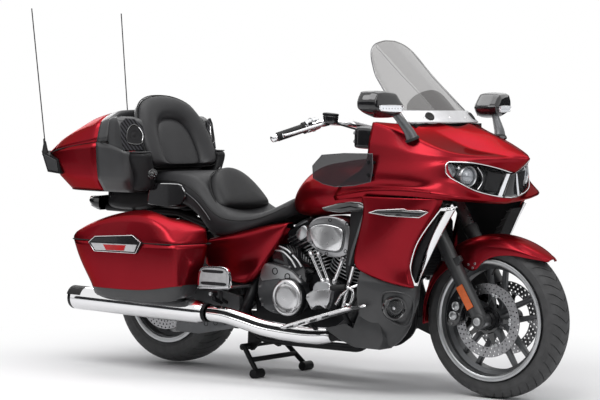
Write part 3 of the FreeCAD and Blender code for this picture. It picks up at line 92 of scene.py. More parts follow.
def shader(name, color, roughness=0.5, metallic=0.0, coat=0.0, spread=0.0, spread_scale=12.0, grain=0.0,
           grain_scale=900.0, wear=0.0, alpha=1.0, specular=0.5, emission=0.0, hatch=0.0, tint=None):
    """A procedural material: colour spread, roughness spread and fine grain come from noise."""
    mat = bpy.data.materials.new(name)
    mat.use_nodes = True
    tree = mat.node_tree
    link = tree.links.new
    surface = tree.nodes["Principled BSDF"]
    where = add_node(tree, "TexCoord").outputs["Object"]

    def pattern(kind, values):
        made = add_node(tree, kind, values)
        link(where, made.inputs["Vector"])
        return made

    def two_tones(source, low, high, dark, bright):
        ramp = add_node(tree, "ValToRGB")
        for element, place, tone in zip(ramp.color_ramp.elements, (low, high), (dark, bright)):
            element.position = place
            element.color = (*tone, 1)
        link(source, ramp.inputs["Fac"])
        link(ramp.outputs["Color"], surface.inputs["Base Color"])

    settings = {"Base Color": (*color, 1), "Metallic": metallic, "Roughness": roughness, "Coat Weight": coat,
                "Coat Roughness": .03, "IOR": 1.5, "Specular IOR Level": specular, "Alpha": alpha}
    if tint:
        settings["Specular Tint"] = (*tint, 1)
    if emission:
        settings.update({"Emission Color": (*color, 1), "Emission Strength": emission})
    for label, value in settings.items():
        surface.inputs[label].default_value = value
    if spread:
        noise = pattern("TexNoise", {"Scale": spread_scale, "Detail": 4})
        two_tones(noise.outputs["Fac"], .3, .7, [c * (1 - spread) for c in color],
                  [min(c * (1 + spread), 1) for c in color])
    if wear:
        patches = pattern("TexNoise", {"Scale": spread_scale * 3})
        span = add_node(tree, "MapRange", {"To Min": max(roughness - wear, .02), "To Max": min(roughness + wear, 1)})
        link(patches.outputs["Fac"], span.inputs["Value"])
        link(span.outputs["Result"], surface.inputs["Roughness"])
    if grain:
        fine = pattern("TexNoise", {"Scale": grain_scale, "Detail": 3})
        bump = add_node(tree, "Bump", {"Strength": grain, "Distance": .001})
        link(fine.outputs["Fac"], bump.inputs["Height"])
        link(bump.outputs["Normal"], surface.inputs["Normal"])
        if hatch:
            waves = pattern("TexWave", {"Scale": hatch / (2 * math.pi)})
            waves.bands_direction = "DIAGONAL"
            two_tones(waves.outputs["Fac"], .4, .6, [c * .3 for c in color], [c * 6 for c in color])
            ribs = add_node(tree, "Bump", {"Strength": .9, "Distance": .002})
            link(waves.outputs["Fac"], ribs.inputs["Height"])
            link(ribs.outputs["Normal"], bump.inputs["Normal"])
    return mat


# name, colour, roughness, metallic, coat, colour spread with its scale, grain with its scale, wear,
# and settings of its own
PAINTS = (
    ("candy_red", (.25, .011, .018), .3, .93, .08, .06, 5.0, .02, 2500, .03, {"tint": (.42, .03, .06)}),
    ("charcoal", (.03, .0305, .032), .4, 0.0, .15, .1, 20.0, .06, 1600, .05, {}),
    ("black_metal", (.009, .009, .01), .32, 0.0, 0.0, .2, 30.0, .04, 1200, .06, {"specular": .12}),
    ("grey_metal", (.11, .113, .118), .36, .6, .1, .1, 25.0, .015, 1500, .05, {}),
    ("chrome", (.82, .82, .83), .06, 1.0, 0.0, .02, 8.0, 0.0, 900, .02, {}),
    ("aluminium", (.52, .53, .54), .36, 1.0, 0.0, .04, 20.0, .008, 1500, .03, {}),
    ("steel", (.42, .42, .43), .3, 1.0, 0.0, .06, 40.0, .01, 1400, .04, {}),
    ("tyre", (.042, .042, .043), .62, 0.0, 0.0, .25, 30.0, .25, 700, .1, {}),
    ("belt", (.018, .018, .018), .7, 0.0, 0.0, .2, 30.0, .3, 600, .1, {}),
    ("leather", (.019, .019, .0205), .44, 0.0, 0.0, .15, 9.0, .55, 420, .07, {"specular": .32}),
    ("rubber", (.01, .01, .01), .6, 0.0, 0.0, .15, 30.0, .25, 900, .08, {"specular": .3}),
    ("gloss_black", (.01, .01, .011), .12, 0.0, .6, .1, 9.0, 0.0, 900, .04, {}),
    ("black_plastic", (.012, .012, .013), .45, 0.0, 0.0, .12, 25.0, .12, 1300, .06, {"specular": .2}),
    ("smoke_glass", (.19, .182, .178), .02, 0.0, 0.0, .05, 3.0, 0.0, 900, .01, {"alpha": .48}),
    ("lamp_glass", (.05, .052, .055), .02, 0.0, 0.0, .02, 3.0, 0.0, 900, .01, {"alpha": .12}),
    ("hatched_black", (.007, .007, .008), .5, 0.0, 0.0, .1, 30.0, .1, 1300, .05, {"specular": .2, "hatch": 175}),
    ("dark_leather", (.008, .008, .009), .42, 0.0, 0.0, .15, 9.0, .5, 420, .07, {"specular": .28}),
    ("thread", (.05, .05, .052), .7, 0.0, 0.0, .2, 90.0, .2, 1500, .05, {}),
    ("projector", (.45, .47, .5), .06, .3, .5, .2, 30.0, 0.0, 900, .03, {}),
    ("light_strip", (.8, .82, .85), .25, 0.0, .5, .03, 30.0, .05, 900, .05, {"emission": .25}),
    ("smoke_edge", (.1, .1, .11), .2, 0.0, 0.0, .1, 30.0, 0.0, 900, .03, {}),
    ("dark_smoke", (.035, .033, .036), .05, 0.0, 0.0, .05, 3.0, 0.0, 900, .01, {"alpha": .72}),
    ("band_silver", (.62, .62, .63), .3, .4, 0.0, .06, 30.0, .05, 1500, .05, {}),
    ("satin_chrome", (.7, .7, .71), .28, 1.0, 0.0, .02, 20.0, .004, 1500, .02, {}),
    ("brake_steel", (.34, .34, .35), .3, 1.0, 0.0, .06, 60.0, .08, 1700, .06, {}),
    ("amber_lens", (.5, .085, .004), .2, 0.0, .15, .12, 60.0, .15, 500, .05, {}),
    ("board_rubber", (.34, .34, .345), .6, 0.0, 0.0, .12, 40.0, .3, 900, .08, {}),
    ("red_lens", (.42, .008, .01), .1, 0.0, .8, .15, 30.0, .1, 500, .05, {}),
)
LOOKS = {name: shader(name, *values, **more) for name, *values, more in PAINTS}
SLOT_OF = {name: name for name in LOOKS}
SLOT_OF.update(hatched_black="black_plastic", thread="leather", dark_leather="leather", projector="lamp_glass",
               light_strip="lamp_glass", smoke_edge="smoke_glass", dark_smoke="smoke_glass", band_silver="aluminium",
               satin_chrome="chrome", brake_steel="steel", amber_lens="red_lens", board_rubber="rubber")


def dress_nodes():
    slots = {s["node"]: s["material_slot"] for s in frame["record"]["subparts"]}
    for name, obj in NODES.items():
        obj.data.materials.clear()
        obj.data.materials.append(LOOKS[slots[name]])
        for face in obj.data.polygons:
            face.use_smooth = True
        obj.data.set_sharp_from_angle(angle=math.radians(28))


# Flat outlines and points

def all_at(points):
    return [at(*p) for p in points]


def upright(outline, y):
    """Points of a side view's outline at one place across."""
    return [at(x, y, z) for x, z in outline]


def level(outline, z):
    """Points of a top view's outline at one height."""
    return [at(x, y, z) for x, y in outline]


def scaled(outline, middle, share, share_up=None):
    """A flat outline drawn towards a middle or away from it."""
    share_up = share if share_up is None else share_up
    return [(middle[0] + (a - middle[0]) * share, middle[1] + (b - middle[1]) * share_up) for a, b in outline]


def flipped(points):
    return [Vector((p[0], -p[1], p[2])) for p in points]


def smooth_line(points, steps, closed=False):
    """Points along a smooth line through the given ones."""
    points = [Vector(p) for p in points]
    count, line = len(points), []
    for i in range(count if closed else count - 1):
        a, b, c, d = (points[(i + k) % count if closed else min(max(i + k, 0), count - 1)] for k in (-1, 0, 1, 2))
        for step in range(steps):
            t = step / steps
            line.append(.5 * ((2 * b) + (c - a) * t + (2 * a - 5 * b + 4 * c - d) * t * t + (3 * b - a - 3 * c + d)
                              * t ** 3))
    return line if closed else line + points[-1:]


def line_through(points, steps, closed=False):
    """A smooth line through points measured from the rear axle's foot."""
    return smooth_line(all_at(points), steps, closed)


def curved(points, steps):
    """A closed outline in the side plane, rounded through its points."""
    return [(p.x, p.z) for p in smooth_line([Vector((x, 0, z)) for x, z in points], steps, closed=True)]


# Parts: each holds its points and its faces

def joined(parts):
    """Several parts as one."""
    verts, faces = [], []
    for v, f in parts:
        base = len(verts)
        verts += list(v)
        faces += [tuple(i + base for i in face) for face in f]
    return verts, faces


def mirrored(data):
    """A part's mirror image on the other side of the middle plane."""
    return flipped(data[0]), [tuple(reversed(f)) for f in data[1]]


def walls(levels, count):
    """Faces between closed loops of points that follow each other."""
    return [(n * count + i, n * count + (i + 1) % count, (n + 1) * count + (i + 1) % count, (n + 1) * count + i)
            for n in range(levels - 1) for i in range(count)]


def stacked(levels):
    """A closed solid through loops of points."""
    count, last = len(levels[0]), (len(levels) - 1) * len(levels[0])
    caps = [tuple(range(count - 1, -1, -1)), tuple(range(last, last + count))]
    return [p for loop in levels for p in loop], walls(len(levels), count) + caps


def ring_frames(line):
    """A turning-free pair of side directions at every point of a line."""
    frames = []
    tangent = (line[1] - line[0]).normalized()
    side = tangent.orthogonal().normalized()
    for i, point in enumerate(line):
        before, after = line[max(i - 1, 0)], line[min(i + 1, len(line) - 1)]
        turned = (after - before).normalized()
        side = (side - turned * side.dot(turned)).normalized()
        frames.append((point, side, turned.cross(side)))
    return frames


def tube_data(line, radius, sides):
    """A round bar along a line; the radius may be a list."""
    levels = []
    for i, (point, side, lift) in enumerate(ring_frames(line)):
        r = radius[i] if isinstance(radius, (list, tuple)) else radius
        turns = [2 * math.pi * k / sides for k in range(sides)]
        levels.append([point + (side * math.cos(turn) + lift * math.sin(turn)) * r for turn in turns])
    return stacked(levels)


def hoop_data(line, radius, sides):
    """A round bar along a closed line."""
    return tube_data(line + line[:1], radius, sides)


def turned_data(profile, centre, axis, segments):
    """A lathe shape: the profile holds places along the axis and radii."""
    axis = Vector(axis).normalized()
    side = axis.orthogonal().normalized()
    lift = axis.cross(side)
    verts, faces, n = [], [], len(profile)
    for k in range(segments):
        turn = 2 * math.pi * k / segments
        ray = side * math.cos(turn) + lift * math.sin(turn)
        verts += [Vector(centre) + axis * place + ray * radius for place, radius in profile]
        a, b = k * n, (k + 1) % segments * n
        faces += [(a + i, a + i + 1, b + i + 1, b + i) for i in range(n - 1)]
    return verts, faces


def slab_data(outline, run, bevel=0.0):
    """A plate from a flat outline pushed along a vector, its rims rounded a little."""
    outline, run = [Vector(p) for p in outline], Vector(run)
    if bevel <= 0:
        return stacked([outline, [p + run for p in outline]])
    middle = sum(outline, Vector()) / len(outline)
    unit = run.normalized()
    inner = []
    for i, p in enumerate(outline):
        after = outline[(i + 1) % len(outline)]
        inward = unit.cross((p - outline[i - 1]).normalized() + (after - p).normalized()).normalized()
        inner.append(p + inward * (bevel if inward.dot(middle - p) >= 0 else -bevel))
    return stacked([inner, [p + unit * bevel for p in outline], [p + run - unit * bevel for p in outline],
                    [p + run for p in inner]])


def outline_solid(outline, y_back, y_front, round_off):
    """A cast cover: an outline in the side plane between two depths, with a rounded front rim."""
    middle = (sum(p[0] for p in outline) / len(outline), sum(p[1] for p in outline) / len(outline))
    size = max(abs(p[0] - middle[0]) + abs(p[1] - middle[1]) for p in outline)
    way = 1 if y_front > y_back else -1
    rings = ((1.0, y_back), (1.0, y_front - way * round_off),
             (1 - .35 * round_off / size, y_front - way * round_off * .35), (1 - 1.2 * round_off / size, y_front))
    return stacked([upright(scaled(outline, middle, share), y) for share, y in rings])


def hex_bolt(spot, facing, radius, height):
    return joined([turned_data([(0, radius * 1.35), (.0012, radius * 1.3)], spot, facing, 18),
                   turned_data([(0, radius), (height * .8, radius), (height, radius * .8), (height, radius * .45),
                                (height * .6, radius * .4), (height * .6, .0002)], spot, facing, 6)])


def side_plate(outline, y, depth, bevel=0.0):
    """A plate whose outline stands in the side plane."""
    return slab_data(upright(outline, y), (0, depth, 0), bevel)


def side_bolts(places, y, radius, height, facing=(0, -1, 0)):
    """Hex bolts on a side face."""
    return [hex_bolt(spot, facing, radius, height) for spot in upright(places, y)]


# Pieces

SAME_PLACE, MERGE_REACH = 1e-6, .0005


def placed(name, mesh, look, body):
    """A smooth piece with its look, on its body."""
    for face in mesh.polygons:
        face.use_smooth = True
    mesh.materials.append(LOOKS[look])
    obj = bpy.data.objects.new(name, mesh)
    bpy.context.scene.collection.objects.link(obj)
    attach(obj, body)
    SLOT_OF.get(look, look)
    return obj


def face_outward(mesh, weld=False):
    shape = bmesh.new()
    shape.from_mesh(mesh)
    if weld:
        bmesh.ops.remove_doubles(shape, verts=shape.verts, dist=SAME_PLACE)
    bmesh.ops.recalc_face_normals(shape, faces=shape.faces)
    shape.to_mesh(mesh)
    shape.free()


def add_mesh(name, data, look, sharp=40, body="chassis"):
    """A piece from a part or a list of parts, smooth except at edges sharper than an angle."""
    verts, faces = data if isinstance(data, tuple) else joined(data)
    mesh = bpy.data.meshes.new(name)
    mesh.from_pydata([tuple(v) for v in verts], [], faces)
    face_outward(mesh, weld=True)
    obj = placed(name, mesh, look, body)
    mesh.set_sharp_from_angle(angle=math.radians(sharp))
    return obj


def add_pair(name, data, look, sharp=40, body="chassis"):
    """A piece from right-hand parts and their mirror images."""
    data = data if isinstance(data, tuple) else joined(data)
    return add_mesh(name, [data, mirrored(data)], look, sharp, body)


def skin(name, rows, look, body="chassis", hard_rows=(), hard_cols=(), rim=0.0, skip=(), closed=False, wall=0.0,
         levels=2, twin=True, merge=False, cap=""):
    """A smooth panel from rows of points; hard rows, columns and rims stay crisp, and a cap closes a tube."""
    height, width = len(rows), len(rows[0])
    faces = []
    for i in range(height - 1):
        for j in range(width if closed else width - 1):
            if (i, j) not in skip:
                a, b = i * width + j, i * width + (j + 1) % width
                faces.append((a, b, b + width, a + width))
    if cap == "both":
        faces.append(tuple(range(width - 1, -1, -1)))
    if cap:
        faces.append(tuple(range((height - 1) * width, height * width)))
    mesh = bpy.data.meshes.new(name)
    mesh.from_pydata([tuple(p) for row in rows for p in row], [], faces)
    if closed:
        face_outward(mesh)
    uses = {}
    for face in mesh.polygons:
        for key in face.edge_keys:
            uses[key] = uses.get(key, 0) + 1
    crease = mesh.attributes.new("crease_edge", "FLOAT", "EDGE")
    hard_rows, hard_cols = dict(hard_rows), dict(hard_cols)
    for edge in mesh.edges:
        (row_a, col_a), (row_b, col_b) = (divmod(v, width) for v in edge.vertices)
        value = hard_rows.get(row_a, 0.0) if row_a == row_b else 0.0
        if col_a == col_b:
            value = hard_cols.get(col_a, value)
        if uses.get(edge.key, 0) == 1:
            value = max(value, rim)
        crease.data[edge.index].value = value
    obj = placed(name, mesh, look, body)
    if twin:
        mod = obj.modifiers.new("twin", "MIRROR")
        mod.use_axis = (False, True, False)
        mod.use_clip = mod.use_mirror_merge = merge
        mod.merge_threshold = MERGE_REACH
    mod = obj.modifiers.new("smooth", "SUBSURF")
    mod.levels = mod.render_levels = levels
    if wall:
        mod = obj.modifiers.new("wall", "SOLIDIFY")
        mod.thickness = wall
        mod.offset = -1
    return obj


# Bodywork

def build_upper_fairing():
    rows = [[(1.853, 0, .968), (1.8, 0, 1.0), (1.73, 0, 1.036), (1.65, 0, 1.072), (1.56, 0, 1.103), (1.5, 0, 1.112),
             (1.4, 0, 1.114), (1.305, 0, 1.114)],
            [(1.851, 0, .967), (1.796, .045, .992), (1.727, .055, 1.017), (1.65, .063, 1.045), (1.56, .082, 1.084),
             (1.492, .105, 1.106), (1.4, .15, 1.112), (1.305, .15, 1.112)],
            [(1.849, 0, .966), (1.79, .082, .977), (1.722, .102, .988), (1.647, .12, 1.001), (1.56, .158, 1.048),
             (1.478, .2, 1.095), (1.4, .283, 1.103), (1.305, .283, 1.108)],
            [(1.846, 0, .9645), (1.788, .098, .97), (1.718, .2, .978), (1.65, .278, .99), (1.56, .31, 1.028),
             (1.475, .317, 1.06), (1.4, .317, 1.085), (1.303, .305, 1.107)],
            [(1.842, 0, .963), (1.785, .104, .966), (1.714, .212, .971), (1.648, .293, .975), (1.56, .337, .985),
             (1.475, .34, 1.0), (1.4, .336, 1.02), (1.302, .328, 1.03)],
            [(1.838, 0, .9595), (1.78, .108, .96), (1.71, .221, .962), (1.646, .297, .963), (1.56, .3445, .955),
             (1.475, .348, .955), (1.385, .344, .955), (1.3, .336, .955)],
            [(1.78, 0, .912), (1.76, .105, .936), (1.717, .212, .956), (1.655, .296, .959), (1.575, .352, .915),
             (1.48, .36, .912), (1.37, .353, .912), (1.262, .337, .912)],
            [(1.767, 0, .808), (1.753, .105, .819), (1.722, .205, .843), (1.667, .292, .892), (1.597, .357, .878),
             (1.485, .365, .876), (1.345, .354, .876), (1.16, .318, .868)],
            [(1.764, 0, .801), (1.75, .11, .811), (1.722, .215, .834), (1.674, .305, .874), (1.6, .35, .856),
             (1.487, .348, .857), (1.34, .337, .855), (1.13, .303, .838)],
            [(1.755, 0, .795), (1.748, .12, .801), (1.74, .225, .811), (1.72, .315, .82), (1.639, .363, .836),
             (1.49, .369, .845), (1.3, .351, .838), (1.107, .302, .803)],
            [(1.738, 0, .789), (1.73, .115, .794), (1.72, .215, .802), (1.7, .303, .808), (1.62, .352, .817),
             (1.48, .36, .822), (1.3, .343, .818), (1.112, .297, .79)]]
    grid = [all_at(row) for row in rows]
    lens = {(6, 0), (6, 1), (6, 2)}
    cockpit = {(0, 5), (0, 6), (1, 5), (1, 6), (0, 4)}
    shell = skin("upper_fairing", grid, "candy_red", hard_rows={2: .65, 3: .9, 4: .7, 5: .3, 6: .35, 9: .9}, rim=1.0,
                 skip=lens | cockpit, wall=.004, levels=3, merge=True)
    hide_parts("fairing", "hood")


DUCT_OUTER = all_at([(1.636, .304, .776), (1.575, .312, .7), (1.527, .315, .63), (1.499, .312, .56),
                     (1.49, .306, .51), (1.506, .298, .462)])
DUCT_INNER = all_at([(1.676, .256, .776), (1.64, .262, .715), (1.612, .268, .665), (1.58, .272, .605),
                     (1.548, .28, .535), (1.518, .292, .462)])


def build_side_panels():
    rows = [[(1.283, .335, .814), (1.285, .354, .813), (1.36, .362, .813), (1.46, .366, .813), (1.56, .361, .813),
             (1.632, .337, .812), (1.64, .3, .812)],
            [(1.303, .335, .77), (1.305, .358, .77), (1.37, .367, .77), (1.46, .371, .77), (1.545, .364, .77),
             (1.617, .337, .77), (1.625, .3, .77)],
            [(1.288, .335, .7), (1.288, .358, .7), (1.35, .368, .7), (1.43, .372, .7), (1.5, .364, .7),
             (1.564, .335, .7), (1.575, .3, .7)],
            [(1.268, .335, .63), (1.268, .357, .63), (1.33, .367, .63), (1.4, .37, .63), (1.465, .361, .63),
             (1.516, .332, .63), (1.525, .3, .63)],
            [(1.248, .333, .56), (1.247, .354, .56), (1.31, .362, .56), (1.38, .364, .56), (1.44, .355, .56),
             (1.488, .328, .56), (1.497, .3, .56)],
            [(1.262, .33, .52), (1.258, .35, .52), (1.315, .356, .52), (1.38, .358, .52), (1.44, .35, .52),
             (1.482, .325, .52), (1.49, .3, .52)],
            [(1.301, .328, .508), (1.299, .346, .506), (1.34, .35, .492), (1.4, .351, .478), (1.455, .344, .467),
             (1.497, .322, .458), (1.506, .3, .455)],
            [(1.305, .315, .512), (1.303, .32, .508), (1.34, .32, .495), (1.4, .32, .482), (1.455, .318, .472),
             (1.49, .308, .465), (1.5, .295, .462)]]
    grid = [flipped(all_at(row)) for row in rows]
    panel = skin("side_panels", grid, "candy_red", hard_rows={6: .8}, hard_cols={1: .85, 5: .8}, rim=1.0, wall=.004,
                 levels=3)
    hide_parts("fairing_sides")
    # duct: bright frame round a dark throat with slats
    rim = flipped(smooth_line(DUCT_OUTER, 5) + smooth_line(DUCT_INNER[::-1], 5))
    count = len(rim)
    middle = sum(rim, Vector()) / count
    loops = [[middle + (p - middle) * shrink + Vector((.5, -.86, 0)) * push for p in rim]
             for shrink, push in ((1.03, -.004), (1.0, .003), (.93, .003), (.9, -.006), (.86, -.05))]
    add_pair("duct_frames", (sum(loops[:4], []), walls(4, count)), "chrome")
    add_pair("duct_throats", (loops[3] + loops[4], walls(2, count) + [tuple(range(count, 2 * count))]),
             "black_plastic")
    slats = []
    back, lift = Vector((-.012, -.016, 0)), Vector((0, 0, .0025))
    for index in range(1, 10):
        k, rest = divmod(index / 10 * (len(DUCT_OUTER) - 1), 1)
        k = int(k)
        a, b = (side[k].lerp(side[k + 1], rest) for side in (DUCT_OUTER, DUCT_INNER))
        a, b = a.lerp(b, .1) + back, a.lerp(b, .9) + back
        slats.append(slab_data(flipped([a + lift, b + lift, b - lift, a - lift]), (-.02, .02, 0), .0008))
    add_pair("duct_slats", slats, "grey_metal")


def build_front_core():
    """A finned radiator between the ducts, dark liners inside the panels and bright duct blades."""
    core = outline_solid([(1.286, .47), (1.258, .69), (1.246, .8), (1.262, .8), (1.328, .69), (1.328, .47)], -.245,
                         .245, .004)
    add_mesh("radiator_core", core, "black_plastic", 35)
    fins = [slab_data([at(1.328, y, .482 + .012 * k + rise)
                       for y, rise in ((-.236, 0), (.236, 0), (.236, .004), (-.236, .004))], (.004, 0, 0))
            for k in range(17)]
    add_mesh("radiator_fins", fins, "black_metal", 35)
    liner = [(1.322, .795), (1.64, .795), (1.6, .7), (1.545, .59), (1.505, .47), (1.322, .48)]
    add_pair("panel_liners", outline_solid(liner, -.286, -.292, .002), "black_plastic", 35)
    blade = []
    for a, near, share in zip(DUCT_OUTER, DUCT_INNER, (.58, .5, .42, .34, .24, .1)):
        far = near.lerp(a, share)
        blade.append(flipped([p + Vector((.5, .86, 0)) * lift
                              for p, lift in ((near, .003), (near.lerp(far, .5), .011), (far, .004))]))
    skin("duct_blades", blade, "chrome", rim=1, wall=.003)


def build_lower_cowls():
    rows = [[(1.256, .303, .512), (1.258, .318, .512), (1.34, .322, .508), (1.42, .318, .5), (1.48, .303, .492),
             (1.5, .272, .484), (1.49, .245, .48)],
            [(1.256, .318, .472), (1.258, .334, .47), (1.34, .338, .468), (1.42, .334, .458), (1.485, .32, .446),
             (1.508, .285, .442), (1.5, .255, .44)],
            [(1.25, .318, .43), (1.25, .334, .43), (1.34, .34, .43), (1.43, .336, .42), (1.49, .316, .41),
             (1.508, .282, .4), (1.497, .25, .4)],
            [(1.252, .312, .36), (1.252, .328, .36), (1.33, .336, .36), (1.41, .33, .355), (1.462, .308, .35),
             (1.48, .275, .345), (1.468, .245, .34)],
            [(1.256, .298, .29), (1.256, .314, .29), (1.32, .322, .288), (1.385, .316, .285), (1.43, .296, .28),
             (1.448, .265, .275), (1.438, .24, .27)],
            [(1.264, .275, .225), (1.264, .288, .225), (1.31, .292, .224), (1.35, .288, .222), (1.382, .272, .222),
             (1.392, .245, .222), (1.385, .225, .222)],
            [(1.268, .262, .2), (1.269, .266, .198), (1.3, .266, .197), (1.325, .262, .197), (1.342, .25, .198),
             (1.348, .232, .199), (1.342, .215, .2)]]
    grid = [flipped(all_at(row)) for row in rows]
    cowl = skin("cowl_shells", grid, "charcoal", hard_cols={1: .8}, hard_rows={1: .7}, rim=1.0, wall=.004, levels=3)
    # fog lamp: deep bezel, reflector and lens
    centre = at(1.446, -.343, .37)
    axis = Vector((.8, -.6, -.05)).normalized()
    bezel = turned_data([(-.03, .028), (.004, .034), (.01, .04), (.01, .046), (.004, .049), (-.02, .05)], centre,
                        axis, 40)
    bowl = turned_data([(-.034, .002), (-.03, .018), (-.02, .025), (-.006, .029)], centre, axis, 40)
    lens = turned_data([(-.004, .0005), (-.005, .015), (-.008, .0285)], centre, axis, 40)
    bulb = turned_data([(-.034, .001), (-.024, .006), (-.014, .0065), (-.008, .004), (-.006, .0005)], centre, axis,
                       20)
    add_pair("fog_bezels", bezel, "gloss_black")
    add_pair("fog_bowls", [bowl, bulb], "chrome", 50)
    add_pair("fog_lenses", lens, "lamp_glass", 50)
    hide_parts("lower_cowls", "fog_lamps")
    rim = line_through(((1.384, -.342, .424), (1.466, -.326, .432), (1.5, -.292, .398), (1.482, -.286, .318),
                        (1.452, -.302, .298), (1.394, -.338, .34)), 4, closed=True)
    add_pair("fog_frames", hoop_data(rim, .0048, 8), "charcoal", 60)
    # dark belly panels that hide the bend of the header pipes
    belly = [(1.075, .262), (1.185, .29), (1.225, .272), (1.25, .33), (1.268, .41), (1.33, .405), (1.372, .24),
             (1.355, .195), (1.231, .196), (1.16, .22)]
    add_pair("belly_panels", outline_solid(belly, -.236, -.3255, .006), "charcoal")


# Luggage

def mirrored_loop(points):
    """A closed loop from its right half, which starts and ends on the middle plane."""
    half = all_at(points)
    right = flipped(half) if max(p.y for p in half) > 0 else half
    return right + flipped(right[1:-1])[::-1]


def build_saddlebags():
    seam = [(-.262, -.275), (-.272, -.35), (-.262, -.43), (-.21, -.459), (-.08, -.467), (.06, -.469), (.2, -.468),
            (.31, -.464), (.362, -.448), (.392, -.385), (.418, -.31), (.424, -.272), (.25, -.265), (-.05, -.265)]
    waist = [(-.232, -.275), (-.24, -.35), (-.229, -.428), (-.18, -.457), (-.07, -.466), (.06, -.468), (.2, -.468),
             (.31, -.464), (.362, -.447), (.388, -.385), (.405, -.31), (.405, -.272), (.24, -.266), (-.05, -.266)]
    foot = [(-.17, -.275), (-.176, -.35), (-.163, -.41), (-.125, -.44), (-.05, -.45), (.06, -.453), (.2, -.454),
            (.315, -.452), (.358, -.437), (.376, -.38), (.37, -.31), (.36, -.275), (.22, -.27), (-.05, -.27)]
    foot_z = [.372, .371, .37, .37, .37, .37, .372, .392, .398, .4, .4, .4, .38, .372]
    ridge = [(-.258, -.275, .615), (-.262, -.35, .612), (-.252, -.425, .603), (-.2, -.447, .62), (-.08, -.453, .664),
             (.06, -.456, .691), (.19, -.455, .697), (.29, -.45, .66), (.345, -.432, .61), (.385, -.375, .63),
             (.41, -.31, .64), (.415, -.272, .64), (.25, -.265, .655), (-.05, -.265, .645)]
    crown = [(-.235, -.285, .63), (-.235, -.34, .636), (-.225, -.375, .637), (-.17, -.4, .657), (-.07, -.41, .69),
             (.06, -.41, .712), (.18, -.405, .719), (.26, -.395, .705), (.31, -.375, .688), (.34, -.34, .68),
             (.355, -.31, .672), (.355, -.285, .668), (.22, -.275, .69), (-.04, -.275, .675)]
    inner = [(x * .6 + .03, -.335 + (y + .335) * .45, z + .01 - .012 * abs(x - .1) / .3) for x, y, z in crown]
    box = [level(seam, .577), level(waist, .49), [at(x, y, z + .012) for (x, y), z in zip(foot, foot_z)],
           [at(x, y * .995, z) for (x, y), z in zip(foot, foot_z)], [at(x * .9 + .01, -.36 + (y + .36) * .8, z + .004)
                                                                     for (x, y), z in zip(foot, foot_z)]]
    shell = skin("saddlebag_boxes", box, "candy_red", hard_rows={0: 1, 3: .75}, hard_cols={8: .45}, closed=True,
                 wall=.004, cap="last")
    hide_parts("saddlebags")
    skirt_top = [at(x, -.36 + (y + .36) * .97, z + .003) for (x, y), z in zip(foot, foot_z)]
    skirt_low_z = [.352, .345, .34, .333, .326, .323, .323, .325, .333, .347, .352, .352, .335, .335]
    skirt_mid = [at(x * .985 + .003, -.36 + (y + .36) * .95, (z + w) / 2 + .006)
                 for (x, y), z, w in zip(foot, foot_z, skirt_low_z)]
    skirt_low = [at(x * .96 + .005, -.36 + (y + .36) * .86, z) for (x, y), z in zip(foot, skirt_low_z)]
    skin("saddlebag_skirts", [skirt_top, skirt_mid, skirt_low], "charcoal", hard_rows={0: 1, 2: .8}, closed=True,
         cap="last")
    seal = hoop_data(smooth_line([at(x * .975 + .002, y * .984 - .005, .579) for x, y in seam], 3, closed=True),
                     .0024, 6)
    add_pair("saddlebag_seals", seal, "rubber", 60)
    lid = [level(seam, .5815), [at(x * 1.001, y * 1.001, .592) for x, y in seam], all_at(ridge), all_at(crown),
           all_at(inner)]
    for word, rows in (("right", lid), ("left", [flipped(row) for row in lid])):
        cover = skin("bag_lid_shell_" + word, rows, "candy_red", f"bag_lid_{word}_body", hard_rows={0: 1, 2: .55},
                     hard_cols={8: .35}, closed=True, wall=.0035, cap="last", twin=False)
        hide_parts(f"bag_lid_{word}")
    # latch plates over the seam: bright outline, dark upper recess, silver lower half, reflector
    plate = [(-.075, .598), (.147, .612), (.196, .583), (.166, .535), (-.078, .533), (-.114, .571)]
    face_y = -.4735
    base = side_plate(scaled(plate, (.041, .572), 1.02), face_y + .008, -.01, .0015)
    edge = hoop_data(upright(plate, face_y - .003), .0018, 6)
    upper = [(-.066, .594), (.144, .607), (.184, .583), (.176, .577), (-.104, .574)]
    lower = [(-.1, .569), (.174, .572), (.158, .54), (-.074, .538)]
    recess = side_plate(upper, face_y - .0035, .003, .0008)
    silver = side_plate(lower, face_y - .0005, -.004, .0015)
    lens = side_plate(((-.023, .565), (.11, .5675), (.1, .543), (-.006, .541)), face_y - .0035, -.0035, .0012)
    add_pair("bag_latch_plates", base, "black_plastic")
    add_pair("bag_latch_edges", edge, "chrome", 60)
    add_pair("bag_latch_recesses", recess, "gloss_black")
    add_pair("bag_latch_faces", silver, "band_silver")
    add_pair("bag_reflectors", lens, "red_lens")


